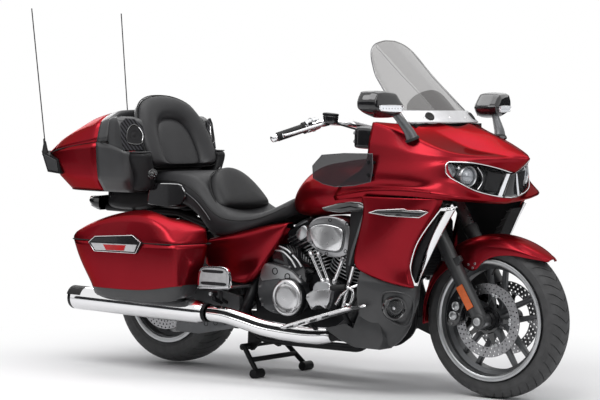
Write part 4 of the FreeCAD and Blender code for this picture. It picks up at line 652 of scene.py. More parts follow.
def build_trunk():
    rim = [(-.612, 0, .942), (-.608, -.13, .943), (-.592, -.235, .946), (-.53, -.293, .959), (-.4, -.311, .985),
           (-.224, -.312, 1.006), (-.15, -.312, 1.006), (-.045, -.31, .968), (-.04, -.16, .968), (-.04, 0, .968)]
    chest = [(-.59, 0, .895), (-.587, -.13, .895), (-.573, -.232, .896), (-.52, -.288, .9), (-.4, -.305, .905),
             (-.224, -.308, .905), (-.14, -.308, .9), (-.048, -.306, .9), (-.04, -.16, .9), (-.04, 0, .9)]
    crease = [(-.555, 0, .85), (-.552, -.13, .85), (-.538, -.225, .85), (-.49, -.275, .848), (-.39, -.293, .846),
              (-.224, -.298, .843), (-.14, -.298, .842), (-.05, -.296, .842), (-.042, -.16, .842), (-.042, 0, .842)]
    tuck = [(-.5, 0, .792), (-.498, -.12, .792), (-.485, -.2, .792), (-.45, -.24, .79), (-.37, -.252, .788),
            (-.224, -.255, .786), (-.14, -.255, .786), (-.06, -.25, .786), (-.05, -.14, .786), (-.05, 0, .786)]
    floor = [(x * .8 - .05, y * .7, z + .001) for x, y, z in tuck]
    rows = [mirrored_loop(r) for r in (rim, chest, crease, tuck, floor)]
    count = len(rows[0])
    grey = {(i, j) for i in range(4) for j in range(5, count - 5)} | {(3, j) for j in range(count)}
    red = {(i, j) for i in range(4) for j in range(count)} - grey
    shell = skin("trunk_shell", rows, "candy_red", hard_rows={0: 1, 2: .6, 3: .7}, rim=1, skip=grey, closed=True,
                 wall=.004, twin=False)
    skin("trunk_front_shell", rows, "charcoal", hard_rows={0: 1, 2: .6, 3: .7}, hard_cols={7: .8, count - 7: .8},
         rim=1, skip=red, closed=True, wall=.004, cap="last", twin=False)
    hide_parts("trunk_box")
    lid_seam = [(-.612, 0, .946), (-.608, -.13, .947), (-.592, -.235, .95), (-.53, -.293, .963), (-.4, -.311, .989),
                (-.224, -.312, 1.01), (-.1625, -.312, 1.012), (-.1625, -.15, 1.012), (-.1625, 0, 1.012)]
    ridge = [(-.6, 0, .962), (-.597, -.12, .963), (-.583, -.222, .966), (-.52, -.268, .998), (-.4, -.283, 1.048),
             (-.224, -.288, 1.094), (-.1625, -.287, 1.107), (-.1625, -.15, 1.112), (-.1625, 0, 1.112)]
    shoulder = [(-.555, 0, .998), (-.553, -.1, .998), (-.54, -.19, 1.0), (-.49, -.235, 1.025), (-.39, -.255, 1.07),
                (-.226, -.258, 1.118), (-.166, -.258, 1.132), (-.164, -.14, 1.142), (-.164, 0, 1.142)]
    top = [(-.44, 0, 1.075), (-.44, -.08, 1.075), (-.43, -.15, 1.077), (-.4, -.185, 1.09), (-.34, -.2, 1.113),
           (-.232, -.205, 1.138), (-.175, -.205, 1.15), (-.172, -.12, 1.154), (-.172, 0, 1.154)]
    peak = [(-.36, 0, 1.11), (-.36, -.05, 1.11), (-.35, -.1, 1.112), (-.33, -.12, 1.12), (-.29, -.13, 1.135),
            (-.24, -.13, 1.145), (-.2, -.13, 1.152), (-.195, -.08, 1.155), (-.195, 0, 1.155)]
    tail = [[(-.612, 0, .946), (-.608, -.13, .947), (-.592, -.235, .95), (-.56, -.268, .957)],
            [(-.6, 0, .962), (-.597, -.12, .963), (-.583, -.222, .966), (-.56, -.245, .972)],
            [(-.58, 0, .98), (-.578, -.11, .98), (-.569, -.205, .981), (-.559, -.23, .983)],
            [(-.5585, 0, .996), (-.5585, -.1, .996), (-.5585, -.19, .995), (-.5585, -.22, .992)]]
    skin("trunk_tail_cap", [all_at(row) for row in tail], "candy_red", hard_rows={1: .65}, rim=1, merge=True,
         wall=.0035)
    rows = [mirrored_loop([(max(x, -.553), y, z) for x, y, z in r]) for r in (lid_seam, ridge, shoulder, top, peak)]
    count = len(rows[0])
    grey = {(i, j) for i in range(4) for j in range(5, count - 5)} | {(3, j) for j in range(count)}
    red = {(i, j) for i in range(4) for j in range(count)} - grey
    lid = skin("trunk_lid_shell", rows, "candy_red", "trunk_lid_body", hard_rows={1: .65}, rim=1, skip=grey,
               closed=True, wall=.0035, twin=False)
    skin("trunk_lid_front", rows, "charcoal", "trunk_lid_body", hard_rows={1: .4, 3: .5},
         hard_cols={6: .8, count - 6: .8}, rim=1, skip=red, closed=True, wall=.0035, cap="last", twin=False)
    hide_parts("trunk_lid")
    seal = smooth_line(mirrored_loop([(x * .985, y * .985, z + .0005) for x, y, z in rim[:7]] + [(-.15, 0, 1.006)]),
                       3, closed=True)
    add_mesh("trunk_seal", hoop_data(seal, .0022, 6), "rubber", 60)


def build_speaker_pods():
    outer = [(-.156, -.311), (-.11, -.312), (-.072, -.31), (-.052, -.288), (-.03, -.245), (-.012, -.208), (-.06, -.2),
             (-.156, -.2)]
    levels = [(1.0, .97, 0), (1.0, .985, 0), (1.0, 1.045, -.006), (.985, 1.085, -.014), (.94, 1.108, -.024),
              (.8, 1.121, -.036), (.4, 1.1235, -.05)]
    middle = (-.095, -.255)
    rows = [[at(middle[0] + (x - middle[0]) * share + (lean if x > -.09 else 0), middle[1] + (y - middle[1]) * share,
                z) for x, y in outer] for share, z, lean in levels]
    pods = skin("speaker_pod_shells", rows, "charcoal", hard_rows={0: 1, 4: .3},
                hard_cols={0: .8, 2: .55, 5: .8, 7: .8}, closed=True, cap="last", levels=3)
    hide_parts("speaker_pods")
    # the slanted face: hatched plate, gloss frame, speaker and a chrome arc on one side only, a painted highlight of
    # the frame
    centre = at(-.049, -.262, 1.04)
    along = Vector((.46, .885, 0)).normalized()
    rise = Vector((-.16, .03, 1)).normalized()
    ahead = along.cross(rise).normalized()
    if ahead.x < 0:
        ahead = -ahead

    def face(u, v, out):
        return centre + along * u + rise * v + ahead * out

    plate = [face(u, v, .004) for u, v in ((-.054, -.07), (.058, -.07), (.06, -.01), (.047, .042), (.014, .072),
                                           (-.03, .076), (-.056, .052), (-.058, -.02))]
    add_pair("speaker_plates", slab_data(plate, ahead * .007, .003), "hatched_black")
    ring = [(-.028, -.036), (.028, -.042), (.043, -.012), (.034, .026), (.008, .046), (-.018, .032), (-.033, -.004)]
    rim_line = smooth_line([face(u, v, .0125) for u, v in ring], 4, closed=True)
    frame_piece = hoop_data(rim_line, .0035, 8)
    well = slab_data([face(u, v, .0075) for u, v in ring], ahead * .0045, 0)
    cone = turned_data([(.0115, .0225), (.0128, .021), (.012, .018), (.0121, .009), (.013, .006), (.0132, .0005)],
                       face(.003, 0, 0), ahead, 32)
    add_pair("speaker_frames", frame_piece, "gloss_black", 60)
    add_pair("speaker_wells", [well, cone], "black_plastic")
    # chrome arc only on the frame's right side: a painted highlight where the ring catches the light
    arc = smooth_line([face(u, v, .0165) for u, v in ((.036, -.026), (.0415, -.008), (.037, .016), (.025, .034))], 5)
    add_pair("speaker_highlight_arcs", tube_data(arc, .0023, 8), "chrome", 60)
    # control pods below: a bent black housing with a round knob
    lower = [(-.052, -.292), (0.0, -.296), (.04, -.28), (.046, -.25), (.04, -.222), (-.052, -.218)]
    heights = [(.86, .792), (.97, .805), (1.0, .86), (1.0, .93), (1.0, .948), (.92, .962), (.5, .966)]
    rows = [[at(-.005 + (x + .005) * share, -.256 + (y + .256) * share, z) for x, y in lower] for share, z in heights]
    rows = [[p + Vector((-.02 * max(0, (.86 - p.z) / .07), .034 * min(1, max(0, (.915 - p.z) / .045)), 0))
             for p in row] for row in rows]
    skin("control_pods", rows, "black_plastic", hard_rows={4: .5}, hard_cols={0: .8, 5: .8}, closed=True, cap="both")
    hub = at(.043, -.232, .868)
    facing = Vector((.92, -.38, .05)).normalized()
    knob = turned_data([(0, .024), (.004, .024), (.006, .022), (.006, .0175), (.012, .0165), (.014, .0145),
                        (.0145, .0005)], hub, facing, 32)
    side = facing.orthogonal().normalized()
    lift = facing.cross(side)
    dots = []
    for k in range(5):
        turn = math.radians(72 * k + 20)
        spot = hub + (side * math.cos(turn) + lift * math.sin(turn)) * .0105
        dots.append(turned_data([(.0135, .0022), (.0155, .0018), (.016, .0004)], spot, facing, 10))
    add_pair("control_knobs", knob, "gloss_black", 50)
    add_pair("control_marks", dots, "aluminium", 50)
    # a cap shaped like the pod's top bracket, in charcoal lighter than the black housing: painted highlight on the
    # pod's top
    highlight_shelf = level(((-.052, -.29), (.018, -.292), (.036, -.272), (.036, -.232), (-.052, -.228)), .9635)
    add_pair("control_highlight_caps", slab_data(highlight_shelf, (0, 0, .005), .002), "charcoal")


# Seat and backrest

def build_seat():
    # right half of each station: (x, [(y, z) from the lower edge over the side to the middle])
    stations = [(-.03, [(.15, .735), (.168, .745), (.176, .8), (.172, .845), (.15, .868), (.085, .873), (0, .874)]),
                (-.01, [(.155, .732), (.175, .742), (.184, .8), (.18, .85), (.156, .874), (.085, .878), (0, .879)]),
                (.08, [(.16, .745), (.182, .755), (.19, .805), (.186, .852), (.158, .879), (.085, .88), (0, .879)]),
                (.17, [(.162, .742), (.186, .752), (.194, .8), (.19, .846), (.16, .88), (.085, .882), (0, .881)]),
                (.25, [(.165, .7), (.19, .712), (.199, .765), (.194, .815), (.16, .862), (.085, .87), (0, .872)]),
                (.3, [(.168, .655), (.193, .668), (.202, .725), (.196, .78), (.16, .818), (.085, .8), (0, .795)]),
                (.35, [(.17, .6), (.196, .61), (.206, .68), (.199, .735), (.162, .768), (.085, .745), (0, .738)]),
                (.42, [(.17, .602), (.197, .612), (.207, .655), (.2, .7), (.16, .722), (.085, .708), (0, .703)]),
                (.5, [(.165, .618), (.192, .628), (.202, .66), (.195, .69), (.152, .706), (.08, .697), (0, .693)]),
                (.58, [(.15, .64), (.177, .65), (.187, .675), (.18, .697), (.138, .71), (.072, .703), (0, .7)]),
                (.65, [(.122, .665), (.146, .675), (.154, .697), (.146, .722), (.108, .738), (.058, .735),
                       (0, .733)]),
                (.7, [(.092, .69), (.112, .698), (.118, .722), (.11, .752), (.078, .77), (.04, .772), (0, .772)]),
                (.722, [(.07, .705), (.086, .712), (.09, .735), (.083, .762), (.058, .782), (.03, .786), (0, .787)])]
    nose = [(.731, [(.05, .712), (.064, .718), (.068, .737), (.062, .758), (.042, .773), (.022, .776), (0, .777)]),
            (.734, [(.02, .735), (.026, .737), (.028, .743), (.025, .75), (.017, .755), (.009, .756), (0, .757)])]
    rows = [[at(x, -y, z) for y, z in half] for x, half in stations + nose]
    cushion = skin("seat_cushion", rows, "leather", hard_cols={0: .9, 4: .28}, rim=.4, merge=True, levels=3)
    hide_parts("seat")
    # a base plate and the closing face of the rear end
    base = [[at(x, -half[0][0] + .004, half[0][1] + .004), at(x, 0, half[0][1] + .02)] for x, half in stations]
    skin("seat_base", base, "black_plastic", merge=True, rim=1, wall=.004)
    rear = [stations[0], (-.034, [(.12, .76), (.13, .77), (.14, .8), (.136, .83), (.12, .848), (.07, .852),
                                  (0, .852)]),
            (-.036, [(.05, .79), (.05, .795), (.06, .8), (.06, .805), (.05, .812), (.03, .815), (0, .815)])]
    rear = [[at(x, -y, z) for y, z in half] for x, half in rear]
    skin("seat_rear_face", rear, "leather", merge=True, rim=.6)
    # rider's lumbar pad, a domed form with its own seam
    outline = [(-1, 0), (-.97, .22), (-.86, .55), (-.62, .83), (-.3, .965), (0, 1), (.3, .965), (.62, .83),
               (.86, .55), (.97, .22), (1, 0), (.5, -.03), (0, -.04), (-.5, -.03)]
    foot, head = at(.398, 0, .724), at(.262, 0, .896)
    rise = head - foot
    ahead = Vector((rise.z, 0, -rise.x)).normalized()

    def ring(width, height, out, lift=0.0):
        return [foot + Vector((0, u * width, 0)) + rise * (v * height + lift) + ahead * out for u, v in outline]

    rows = [ring(.17, .96, -.055), ring(.176, 1.0, -.03), ring(.172, 1.0, -.004), ring(.158, .965, .017, .01),
            ring(.125, .86, .03, .05), ring(.075, .62, .036, .15), ring(.03, .3, .038, .3)]
    pad = skin("rider_lumbar_pad", rows, "dark_leather", hard_rows={0: .8}, closed=True, cap="both", twin=False,
               levels=3)
    welt = smooth_line(ring(.1755, 1.0, -.012)[:11], 4)
    add_mesh("lumbar_piping", tube_data(welt, .0024, 8), "rubber", 60)
    # sewn seams of the seat: round the rider's dish and along the sides
    dish = [(.33, -.14, .7795), (.375, -.138, .7385), (.44, -.134, .7145), (.51, -.128, .7045), (.57, -.118, .7065),
            (.62, -.1, .7195), (.65, -.07, .734), (.662, 0, .7395)]
    line = line_through(dish, 6)
    whole = line + flipped(line[:-1])[::-1]
    add_mesh("seat_dish_seam", tube_data(whole, .0016, 6), "rubber", 60)
    side = [at(x, -half[3][0] - .0015, half[3][1] - .012) for x, half in stations[1:-1]]
    add_pair("seat_side_piping", tube_data(smooth_line(side, 5), .0019, 6), "rubber", 60)
    stitch = []
    for a, b in zip(whole, whole[1:]):
        middle = (a + b) / 2 + Vector((-.004, 0, .0006))
        run = (b - a).normalized() * .0022
        stitch.append(tube_data([middle - run, middle, middle + run], [.0003, .0007, .0003], 5))
    add_mesh("seat_stitches", stitch, "thread", 60)
    trim = line_through(((.213, -.2, .789), (.27, -.204, .758), (.322, -.207, .716), (.36, -.208, .675)), 6)
    add_pair("seat_trim_strips", tube_data(trim, .0018, 6), "grey_metal", 60)
    # glossy pocket panels with a bright edge below the passenger's place
    pocket = [(-.012, .733), (-.005, .777), (.011, .817), (.041, .828), (.172, .829), (.198, .812), (.214, .792),
              (.212, .77), (.185, .735), (.1, .722)]
    body = side_plate(pocket, -.192, -.014, .004)
    add_pair("pocket_panels", body, "gloss_black")
    rim = smooth_line(upright(((-.01, .745), (-.004, .779), (.012, .8135), (.041, .8245), (.172, .8255), (.195, .81),
                               (.209, .792)), -.2035), 5)
    add_pair("pocket_edges", tube_data(rim, .0021, 6), "chrome", 60)


def build_backrest():
    foot, head = at(.018, 0, .9), at(-.122, 0, 1.2217)
    rise = head - foot
    ahead = Vector((.926, 0, .378))
    half = [(0, 0.0), (.5, 0.0), (.9, .015), (1.0, .12), (1.0, .4), (.94, .63), (.77, .855), (.43, .97), (0, 1)]
    outline = half + [(-u, v) for u, v in half[1:-1]][::-1]

    def ring(share, out, tall=None):
        tall = share if tall is None else tall
        return [foot + Vector((.024 * (u * share) ** 2, -u * share * .23, 0)) + rise * (.012 + (v - .012) * tall)
                + ahead * out for u, v in outline]

    rows = [ring(.9, -.04), ring(.985, -.032), ring(1.0, -.018), ring(1.0, -.002), ring(.95, .016, .96),
            ring(.8, .029, .87), ring(.64, .027, .76), ring(.55, .012, .69), ring(.525, -.004, .665),
            ring(.5, .006, .64), ring(.42, .014, .56), ring(.22, .018, .32)]
    pad = skin("backrest_cushion", rows, "leather", hard_rows={0: .8, 8: .85}, closed=True, cap="both", twin=False,
               levels=3)
    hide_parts("backrest")
    line = smooth_line(ring(1.004, -.01), 4, closed=True)
    add_mesh("backrest_piping", hoop_data(line, .0026, 8), "rubber", 60)
    shell = [ring(1.01, -.012), ring(1.02, -.026), ring(1.0, -.044), ring(.9, -.052), ring(.5, -.054)]
    skin("backrest_shell", shell, "charcoal", hard_rows={0: 1}, closed=True, cap="last", twin=False)
    groove = smooth_line(ring(.526, -.0015, .666), 4, closed=True)
    add_mesh("backrest_channel_seam", hoop_data(groove, .0015, 6), "rubber", 60)


# Lamps, mirrors and screen

def build_headlamps():
    top = [(1.776, 0, .909), (1.757, -.105, .934), (1.715, -.212, .954), (1.658, -.292, .958), (1.652, -.304, .945)]
    low = [(1.764, 0, .812), (1.751, -.105, .822), (1.721, -.205, .846), (1.666, -.29, .894), (1.654, -.304, .915)]
    top, low = all_at(top), all_at(low)
    inward = Vector((-.062, .01, -.006))
    rows = [top, [p + inward * .5 for p in top], [p + inward + Vector((0, 0, -.006)) for p in top],
            [p + inward + Vector((0, 0, .006)) for p in low], [p + inward * .5 for p in low], low]
    for row in rows:
        row[0].y = 0
    bowl = skin("headlamp_bowls", rows, "gloss_black", hard_rows={2: .7, 3: .7}, merge=True)
    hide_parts("headlamp")
    mid = [(a + b) / 2 + Vector((.01, 0, 0)) for a, b in zip(top, low)]
    glass = [[p + Vector((-.004, 0, 0)) for p in row] for row in (top, mid, low)]
    skin("headlamp_glass", glass, "lamp_glass", rim=1, merge=True)
    corner = smooth_line([top[3], top[4], low[4], low[3]], 4)
    outline = smooth_line(top[:4], 5)[:-1] + corner[:-1] + smooth_line(low[3::-1], 5)
    add_pair("headlamp_outlines", tube_data([p + Vector((.004, 0, 0)) for p in outline], .0026, 8), "chrome", 60)
    main, outer = at(1.7, -.212, .9), at(1.655, -.272, .92)
    facing = Vector((.95, -.28, -.04)).normalized()
    rings = joined([turned_data([(-.034, .026), (-.012, .034), (-.002, .0365), (.004, .0375), (.006, .04),
                                 (.002, .0425), (-.03, .043)], main, facing, 40),
                    turned_data([(-.026, .01), (-.016, .02), (-.004, .0255), (.001, .0275), (-.002, .029),
                                 (-.02, .029)], outer, facing, 32)])
    add_pair("headlamp_rings", rings, "aluminium", 50)
    lens = turned_data([(-.012, .0335), (-.002, .03), (.005, .022), (.0095, .011), (.0105, .0004)], main, facing, 40)
    small = turned_data([(-.014, .021), (-.006, .016), (-.002, .008), (-.001, .0004)], outer, facing, 32)
    add_pair("projector_lenses", [lens, small], "projector", 50)
    shades = turned_data([(-.013, .0335), (-.0135, .0004)], main, facing, 32)
    add_pair("projector_shades", shades, "black_plastic", 50)
    dots = [turned_data([(-.01, .0065), (.002, .0065), (.004, .004), (.0045, .0004)], at(x - .012, y, z), facing, 16)
            for x, y, z in ((1.693, -.25, .934), (1.698, -.248, .908))]
    arc = smooth_line([at(x - .012, y, z) for x, y, z in ((1.732, -.174, .936), (1.742, -.156, .905),
                                                          (1.742, -.156, .875), (1.732, -.172, .848))], 6)
    add_pair("headlamp_trims", dots + [tube_data(arc, .0022, 8)], "chrome", 50)
    panel = all_at(((1.748, -.14, .918), (1.762, -.045, .905), (1.752, -.08, .835), (1.734, -.145, .846)))
    add_pair("headlamp_panels", slab_data(panel, (-.006, 0, 0), .0015), "black_plastic")
    strip = all_at(((1.7735, -.036, .9085), (1.7745, -.018, .9075), (1.762, -.058, .8185), (1.76, -.077, .8215)))
    add_pair("daylight_strips", slab_data(strip, (-.006, 0, 0), .0012), "light_strip")
    prow = [[at(1.788, 0, .912), at(1.781, -.016, .911)], [at(1.777, 0, .862), at(1.771, -.034, .863)],
            [at(1.768, 0, .81), at(1.765, -.056, .812)]]
    skin("headlamp_prow", prow, "gloss_black", merge=True, rim=1, wall=.004)


def build_mirrors():
    middle = (-.42, 1.1825)
    outline = [(-.098, .016), (-.09, -.016), (-.06, -.036), (.02, -.055), (.074, -.053), (.096, -.008), (.045, .049),
               (-.02, .056), (-.072, .051)]
    levels = [(1.37, .9, 0), (1.376, .96, 0), (1.392, 1.0, 0), (1.44, .97, .002), (1.462, .86, .004),
              (1.474, .62, .01)]
    rows = [[at(x + .125 * u * (x - 1.37) / .1, middle[0] + u * share + shift, middle[1] + z * share)
             for u, z in outline] for x, share, shift in levels]
    shell = skin("mirror_shells", rows, "gloss_black", hard_rows={0: 1, 3: .55, 4: .6},
                 hard_cols={k: .65 for k in (1, 3, 5, 6, 8)}, closed=True, cap="last", levels=3)
    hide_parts("mirrors")
    glass = [at(1.374, middle[0] + u * .86, middle[1] + z * .86) for u, z in outline]
    add_pair("mirror_glasses", slab_data(glass, (-.003, 0, 0), .001), "chrome")

    def face(y, z):
        return at(1.4765 + .2 * (y + .41), y, z)

    lens = [face(y, z) for y, z in ((-.472, 1.1775), (-.366, 1.1775), (-.36, 1.166), (-.366, 1.153), (-.464, 1.156),
                                    (-.477, 1.166))]
    add_pair("mirror_lamp_lenses", slab_data(lens, (-.012, 0, 0), .0015), "light_strip")
    frame_line = smooth_line([p + Vector((.0004, 0, 0)) for p in lens], 3, closed=True)
    add_pair("mirror_lamp_frames", hoop_data(frame_line, .0016, 6), "chrome", 60)
    seeds = [turned_data([(0, .0032), (.001, .0024), (.0012, .0004)], face(-.462 + .0155 * k, 1.166), (1, -.2, 0), 10)
             for k in range(7)]
    add_pair("mirror_lamp_seeds", seeds, "aluminium", 60)
    stalk = line_through(((1.508, -.322, 1.046), (1.5, -.331, 1.072), (1.48, -.346, 1.106), (1.458, -.364, 1.138),
                          (1.444, -.385, 1.15)), 5)
    widths = [.0255 - .0125 * min(1, i / (len(stalk) * .75)) for i in range(len(stalk))]
    add_pair("mirror_stalks", tube_data(stalk, widths, 14), "grey_metal", 50)
    boot = turned_data([(-.004, .03), (.003, .029), (.006, .026)], stalk[0], stalk[1] - stalk[0], 24)
    add_pair("mirror_boots", boot, "rubber", 50)


SCREEN_FOOT, SCREEN_TOP = 1.1066, 1.447


def screen_section(z):
    """Where the windshield's middle stands at a height, its half width there, and where its edge stands."""
    table = [(SCREEN_FOOT, 1.527, .265, 1.43), (1.2, 1.435, .238, 1.335), (1.3, 1.328, .206, 1.243),
             (1.36, 1.264, .18, 1.203), (1.4, 1.222, .154, 1.182), (1.425, 1.196, .122, 1.169),
             (1.439, 1.181, .084, 1.164), (SCREEN_TOP, 1.172, .03, 1.164)]
    for low, high in zip(table, table[1:]):
        if z <= high[0] or high is table[-1]:
            t = (z - low[0]) / (high[0] - low[0])
            return [low[k] + (high[k] - low[k]) * t for k in (1, 2, 3)]


def screen_point(share, z, lift=0.0):
    """A point of the windshield's outer face; the share runs from its middle to its edge."""
    middle, half, edge = screen_section(z)
    return at(middle - (middle - edge) * share * share + lift, -share * half, z)


def build_windshield():
    heights = [SCREEN_FOOT, 1.14, 1.18, 1.22, 1.26, 1.3, 1.34, 1.37, 1.4, 1.42, 1.434, 1.442, SCREEN_TOP]
    folds = [min((.098 + .06 * (z - SCREEN_FOOT)) / screen_section(z)[1], .93) for z in heights]
    rows = [[screen_point(0, z), screen_point(fold * .55, z), screen_point(fold, z, .002),
             screen_point((1 + fold) / 2, z), screen_point(1, z)] for z, fold in zip(heights, folds)]
    screen = skin("windshield_pane", rows, "smoke_glass", hard_cols={2: .8}, rim=.7, wall=.0035, merge=True)
    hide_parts("windshield")
    fold_line = [screen_point(fold, z, .0032) for z, fold in zip(heights, folds)]
    add_pair("windshield_fold_lines", tube_data(smooth_line(fold_line, 4), .0009, 6), "smoke_edge", 60)
    edge = smooth_line([screen_point(1, z, -.001) for z in heights], 4)
    top = smooth_line([screen_point(k / 6, SCREEN_TOP, -.001) for k in range(7)], 2)
    add_pair("windshield_edges", tube_data(edge, .0017, 6), "smoke_edge", 60)
    add_pair("windshield_top_edge", tube_data(top, .0017, 6), "smoke_edge", 60)
    band = [[screen_point(share, z, .006) for share in (0, .2, .4, .6, .8, .97)]
            for z in (1.108, 1.125, 1.142, 1.156)]
    skin("windshield_base_band", band, "band_silver", rim=1, wall=.004, merge=True)
    bolts = [turned_data([(0, .0062), (.003, .0058), (.0042, .004), (.0044, .0004)], screen_point(share, 1.128, .006),
                         (.72, -.3 * share, .62), 16) for share in (.22, .72)]
    add_pair("windshield_bolts", bolts, "chrome", 50)
    grommet = turned_data([(-.002, .02), (.004, .02), (.006, .016), (.004, .012), (.0045, .0004)],
                          screen_point(.6, 1.134, .0105), (.72, -.3, .62), 28)
    add_pair("windshield_grommets", grommet, "rubber", 50)
    vent = [[screen_point(0, z, -.016) + Vector((-.05 * (half * share) ** 2 / .016, -half * share, 0))
             for share in (0, .25, .5, .75, 1)] for z, half in ((1.15, .17), (1.176, .16), (1.2, .135), (1.222, .095),
                                                                (1.236, .045), (1.24, .006))]
    skin("windshield_vent", vent, "black_plastic", rim=.8, wall=.004, merge=True)


def build_side_trim():
    pane = [(1.087, .975), (1.04, .93), (1.044, .88), (1.095, .858), (1.157, .848), (1.25, .855), (1.334, .873),
            (1.344, .93), (1.342, .985), (1.2, .984)]
    glass = side_plate(pane, -.358, -.005, .0015)
    shell = add_pair("wind_deflector_panes", glass, "dark_smoke")
    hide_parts("wind_deflectors")
    rim = upright(pane, -.3605)
    add_pair("wind_deflector_edges", hoop_data(rim, .0018, 6), "smoke_edge", 60)
    posts = [tube_data([at(1.335, -.356, z), at(1.345, -.33, z), at(1.352, -.315, z)], .007, 10) for z in (.9, .95)]
    caps = [turned_data([(0, .008), (.002, .0075), (.003, .0004)], at(1.325, -.364, z), (0, -1, 0), 16)
            for z in (.9, .95)]
    add_pair("wind_deflector_posts", posts + caps, "black_metal", 50)
    # arrow-shaped plain strip with a bright border on the side panels
    arrow = [(1.339, .75), (1.378, .762), (1.507, .771), (1.524, .766), (1.584, .766), (1.612, .761), (1.574, .738),
             (1.43, .741)]

    def on_panel(x, y, z):
        return at(x, y + max(0, x - 1.5) * .16, z)

    border = [on_panel(x, -.3775, z) for x, z in arrow]
    add_pair("side_arrow_borders", hoop_data(border, .0022, 6), "chrome", 60)
    ends = ((1.342, .7495, .7505), (1.38, .7455, .7615), (1.43, .742, .765), (1.505, .7405, .77), (1.524, .74, .766),
            (1.574, .739, .7655), (1.608, .7575, .7605))
    rows = [[on_panel(end[0], -.3768, end[k]) for end in ends] for k in (1, 2)]
    skin("side_arrow_fields", rows, "gloss_black", rim=1, wall=.003, levels=1)
    # a chrome sliver along the arrow's lower edge: a painted glint
    glint = [[on_panel(x, -.3785, z + lift) for x, z in ((1.47, .7445), (1.565, .743), (1.59, .756))]
             for lift in (0, .0035)]
    skin("side_arrow_glints", glint, "chrome", rim=1, levels=1)
    bead = line_through(((1.15, -.314, .8145), (1.3, -.3535, .8395), (1.49, -.3715, .8465), (1.625, -.366, .8385)), 6)
    add_pair("fairing_beads", tube_data(bead, .0042, 10), "candy_red", 60)
    # cockpit pods behind the fairing's shoulders
    base = [(1.205, -.3), (1.29, -.306), (1.36, -.3), (1.372, -.262), (1.352, -.228), (1.215, -.222), (1.195, -.255)]
    heights = [(.9, 1.0), (1.0, 1.012), (1.0, 1.07), (.95, 1.086), (.8, 1.093), (.35, 1.095)]
    rows = [[at(1.28 + (x - 1.28) * share, -.262 + (y + .262) * share, z - (.02 if x > 1.3 and z > 1.05 else 0))
             for x, y in base] for share, z in heights]
    skin("cockpit_pods", rows, "gloss_black", hard_cols={0: .8, 2: .5, 6: .5}, hard_rows={1: .5, 3: .4}, closed=True,
         cap="both")
    studs = [turned_data([(0, .008), (.004, .0075), (.006, .005), (.0062, .0004)], at(1.205, -.292, z),
                         (-.35, -.93, .1), 14) for z in (1.032, 1.066)]
    add_pair("cockpit_pod_bolts", studs, "steel", 50)
    # dark trims beside the engine: a cap under the tank and a leaning plate, with a grey metal strip along its front
    # edge as a painted highlight
    cap = [(1.06, .758), (1.1, .768), (1.15, .781), (1.21, .788), (1.252, .787), (1.292, .772), (1.288, .756),
           (1.216, .748), (1.15, .742), (1.075, .746)]
    body = side_plate(cap, -.3, -.032, .01)
    add_pair("knee_caps", body, "gloss_black", 50)
    plate = [(1.186, .748), (1.275, .757), (1.262, .7), (1.232, .62), (1.2, .53), (1.172, .466), (1.16, .52),
             (1.172, .6), (1.184, .68)]
    body = side_plate(plate, -.28, -.02, .006)
    add_pair("knee_plates", body, "black_plastic", 50)
    # grey metal strip on the black plate's front edge: a painted highlight along that edge
    strip = [(1.28, .764), (1.268, .764), (1.25, .725), (1.196, .583), (1.186, .525), (1.196, .527), (1.208, .578),
             (1.262, .722)]
    add_pair("knee_highlight_strips", side_plate(strip, -.302, -.007, .002), "grey_metal", 50)
    pipe = line_through(((1.206, -.3, .523), (1.186, -.302, .455), (1.158, -.305, .353)), 6)
    add_pair("knee_rods", tube_data(pipe, .0075, 12), "chrome", 50)


def build_side_covers():
    top = [(.345, .588), (.41, .6), (.5, .619), (.6, .641), (.7, .664), (.783, .676)]
    low = [(.338, .48), (.4, .445), (.48, .408), (.59, .412), (.65, .5), (.772, .656)]
    section = ((-.03, -.178), (0, -.196), (.05, -.209), (.16, -.213), (.55, -.214), (.93, -.207), (1.0, -.2),
               (1.02, -.182))
    rows = [[at(a + (c - a) * share, y + (.018 if k == 5 else 0), b + (d - b) * share)
             for k, ((a, b), (c, d)) in enumerate(zip(top, low))] for share, y in section]
    panel = skin("side_cover_panels", rows, "candy_red", hard_rows={2: .35, 5: .6}, rim=.9, wall=.003)
    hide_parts("side_covers")


# Engine and exhausts

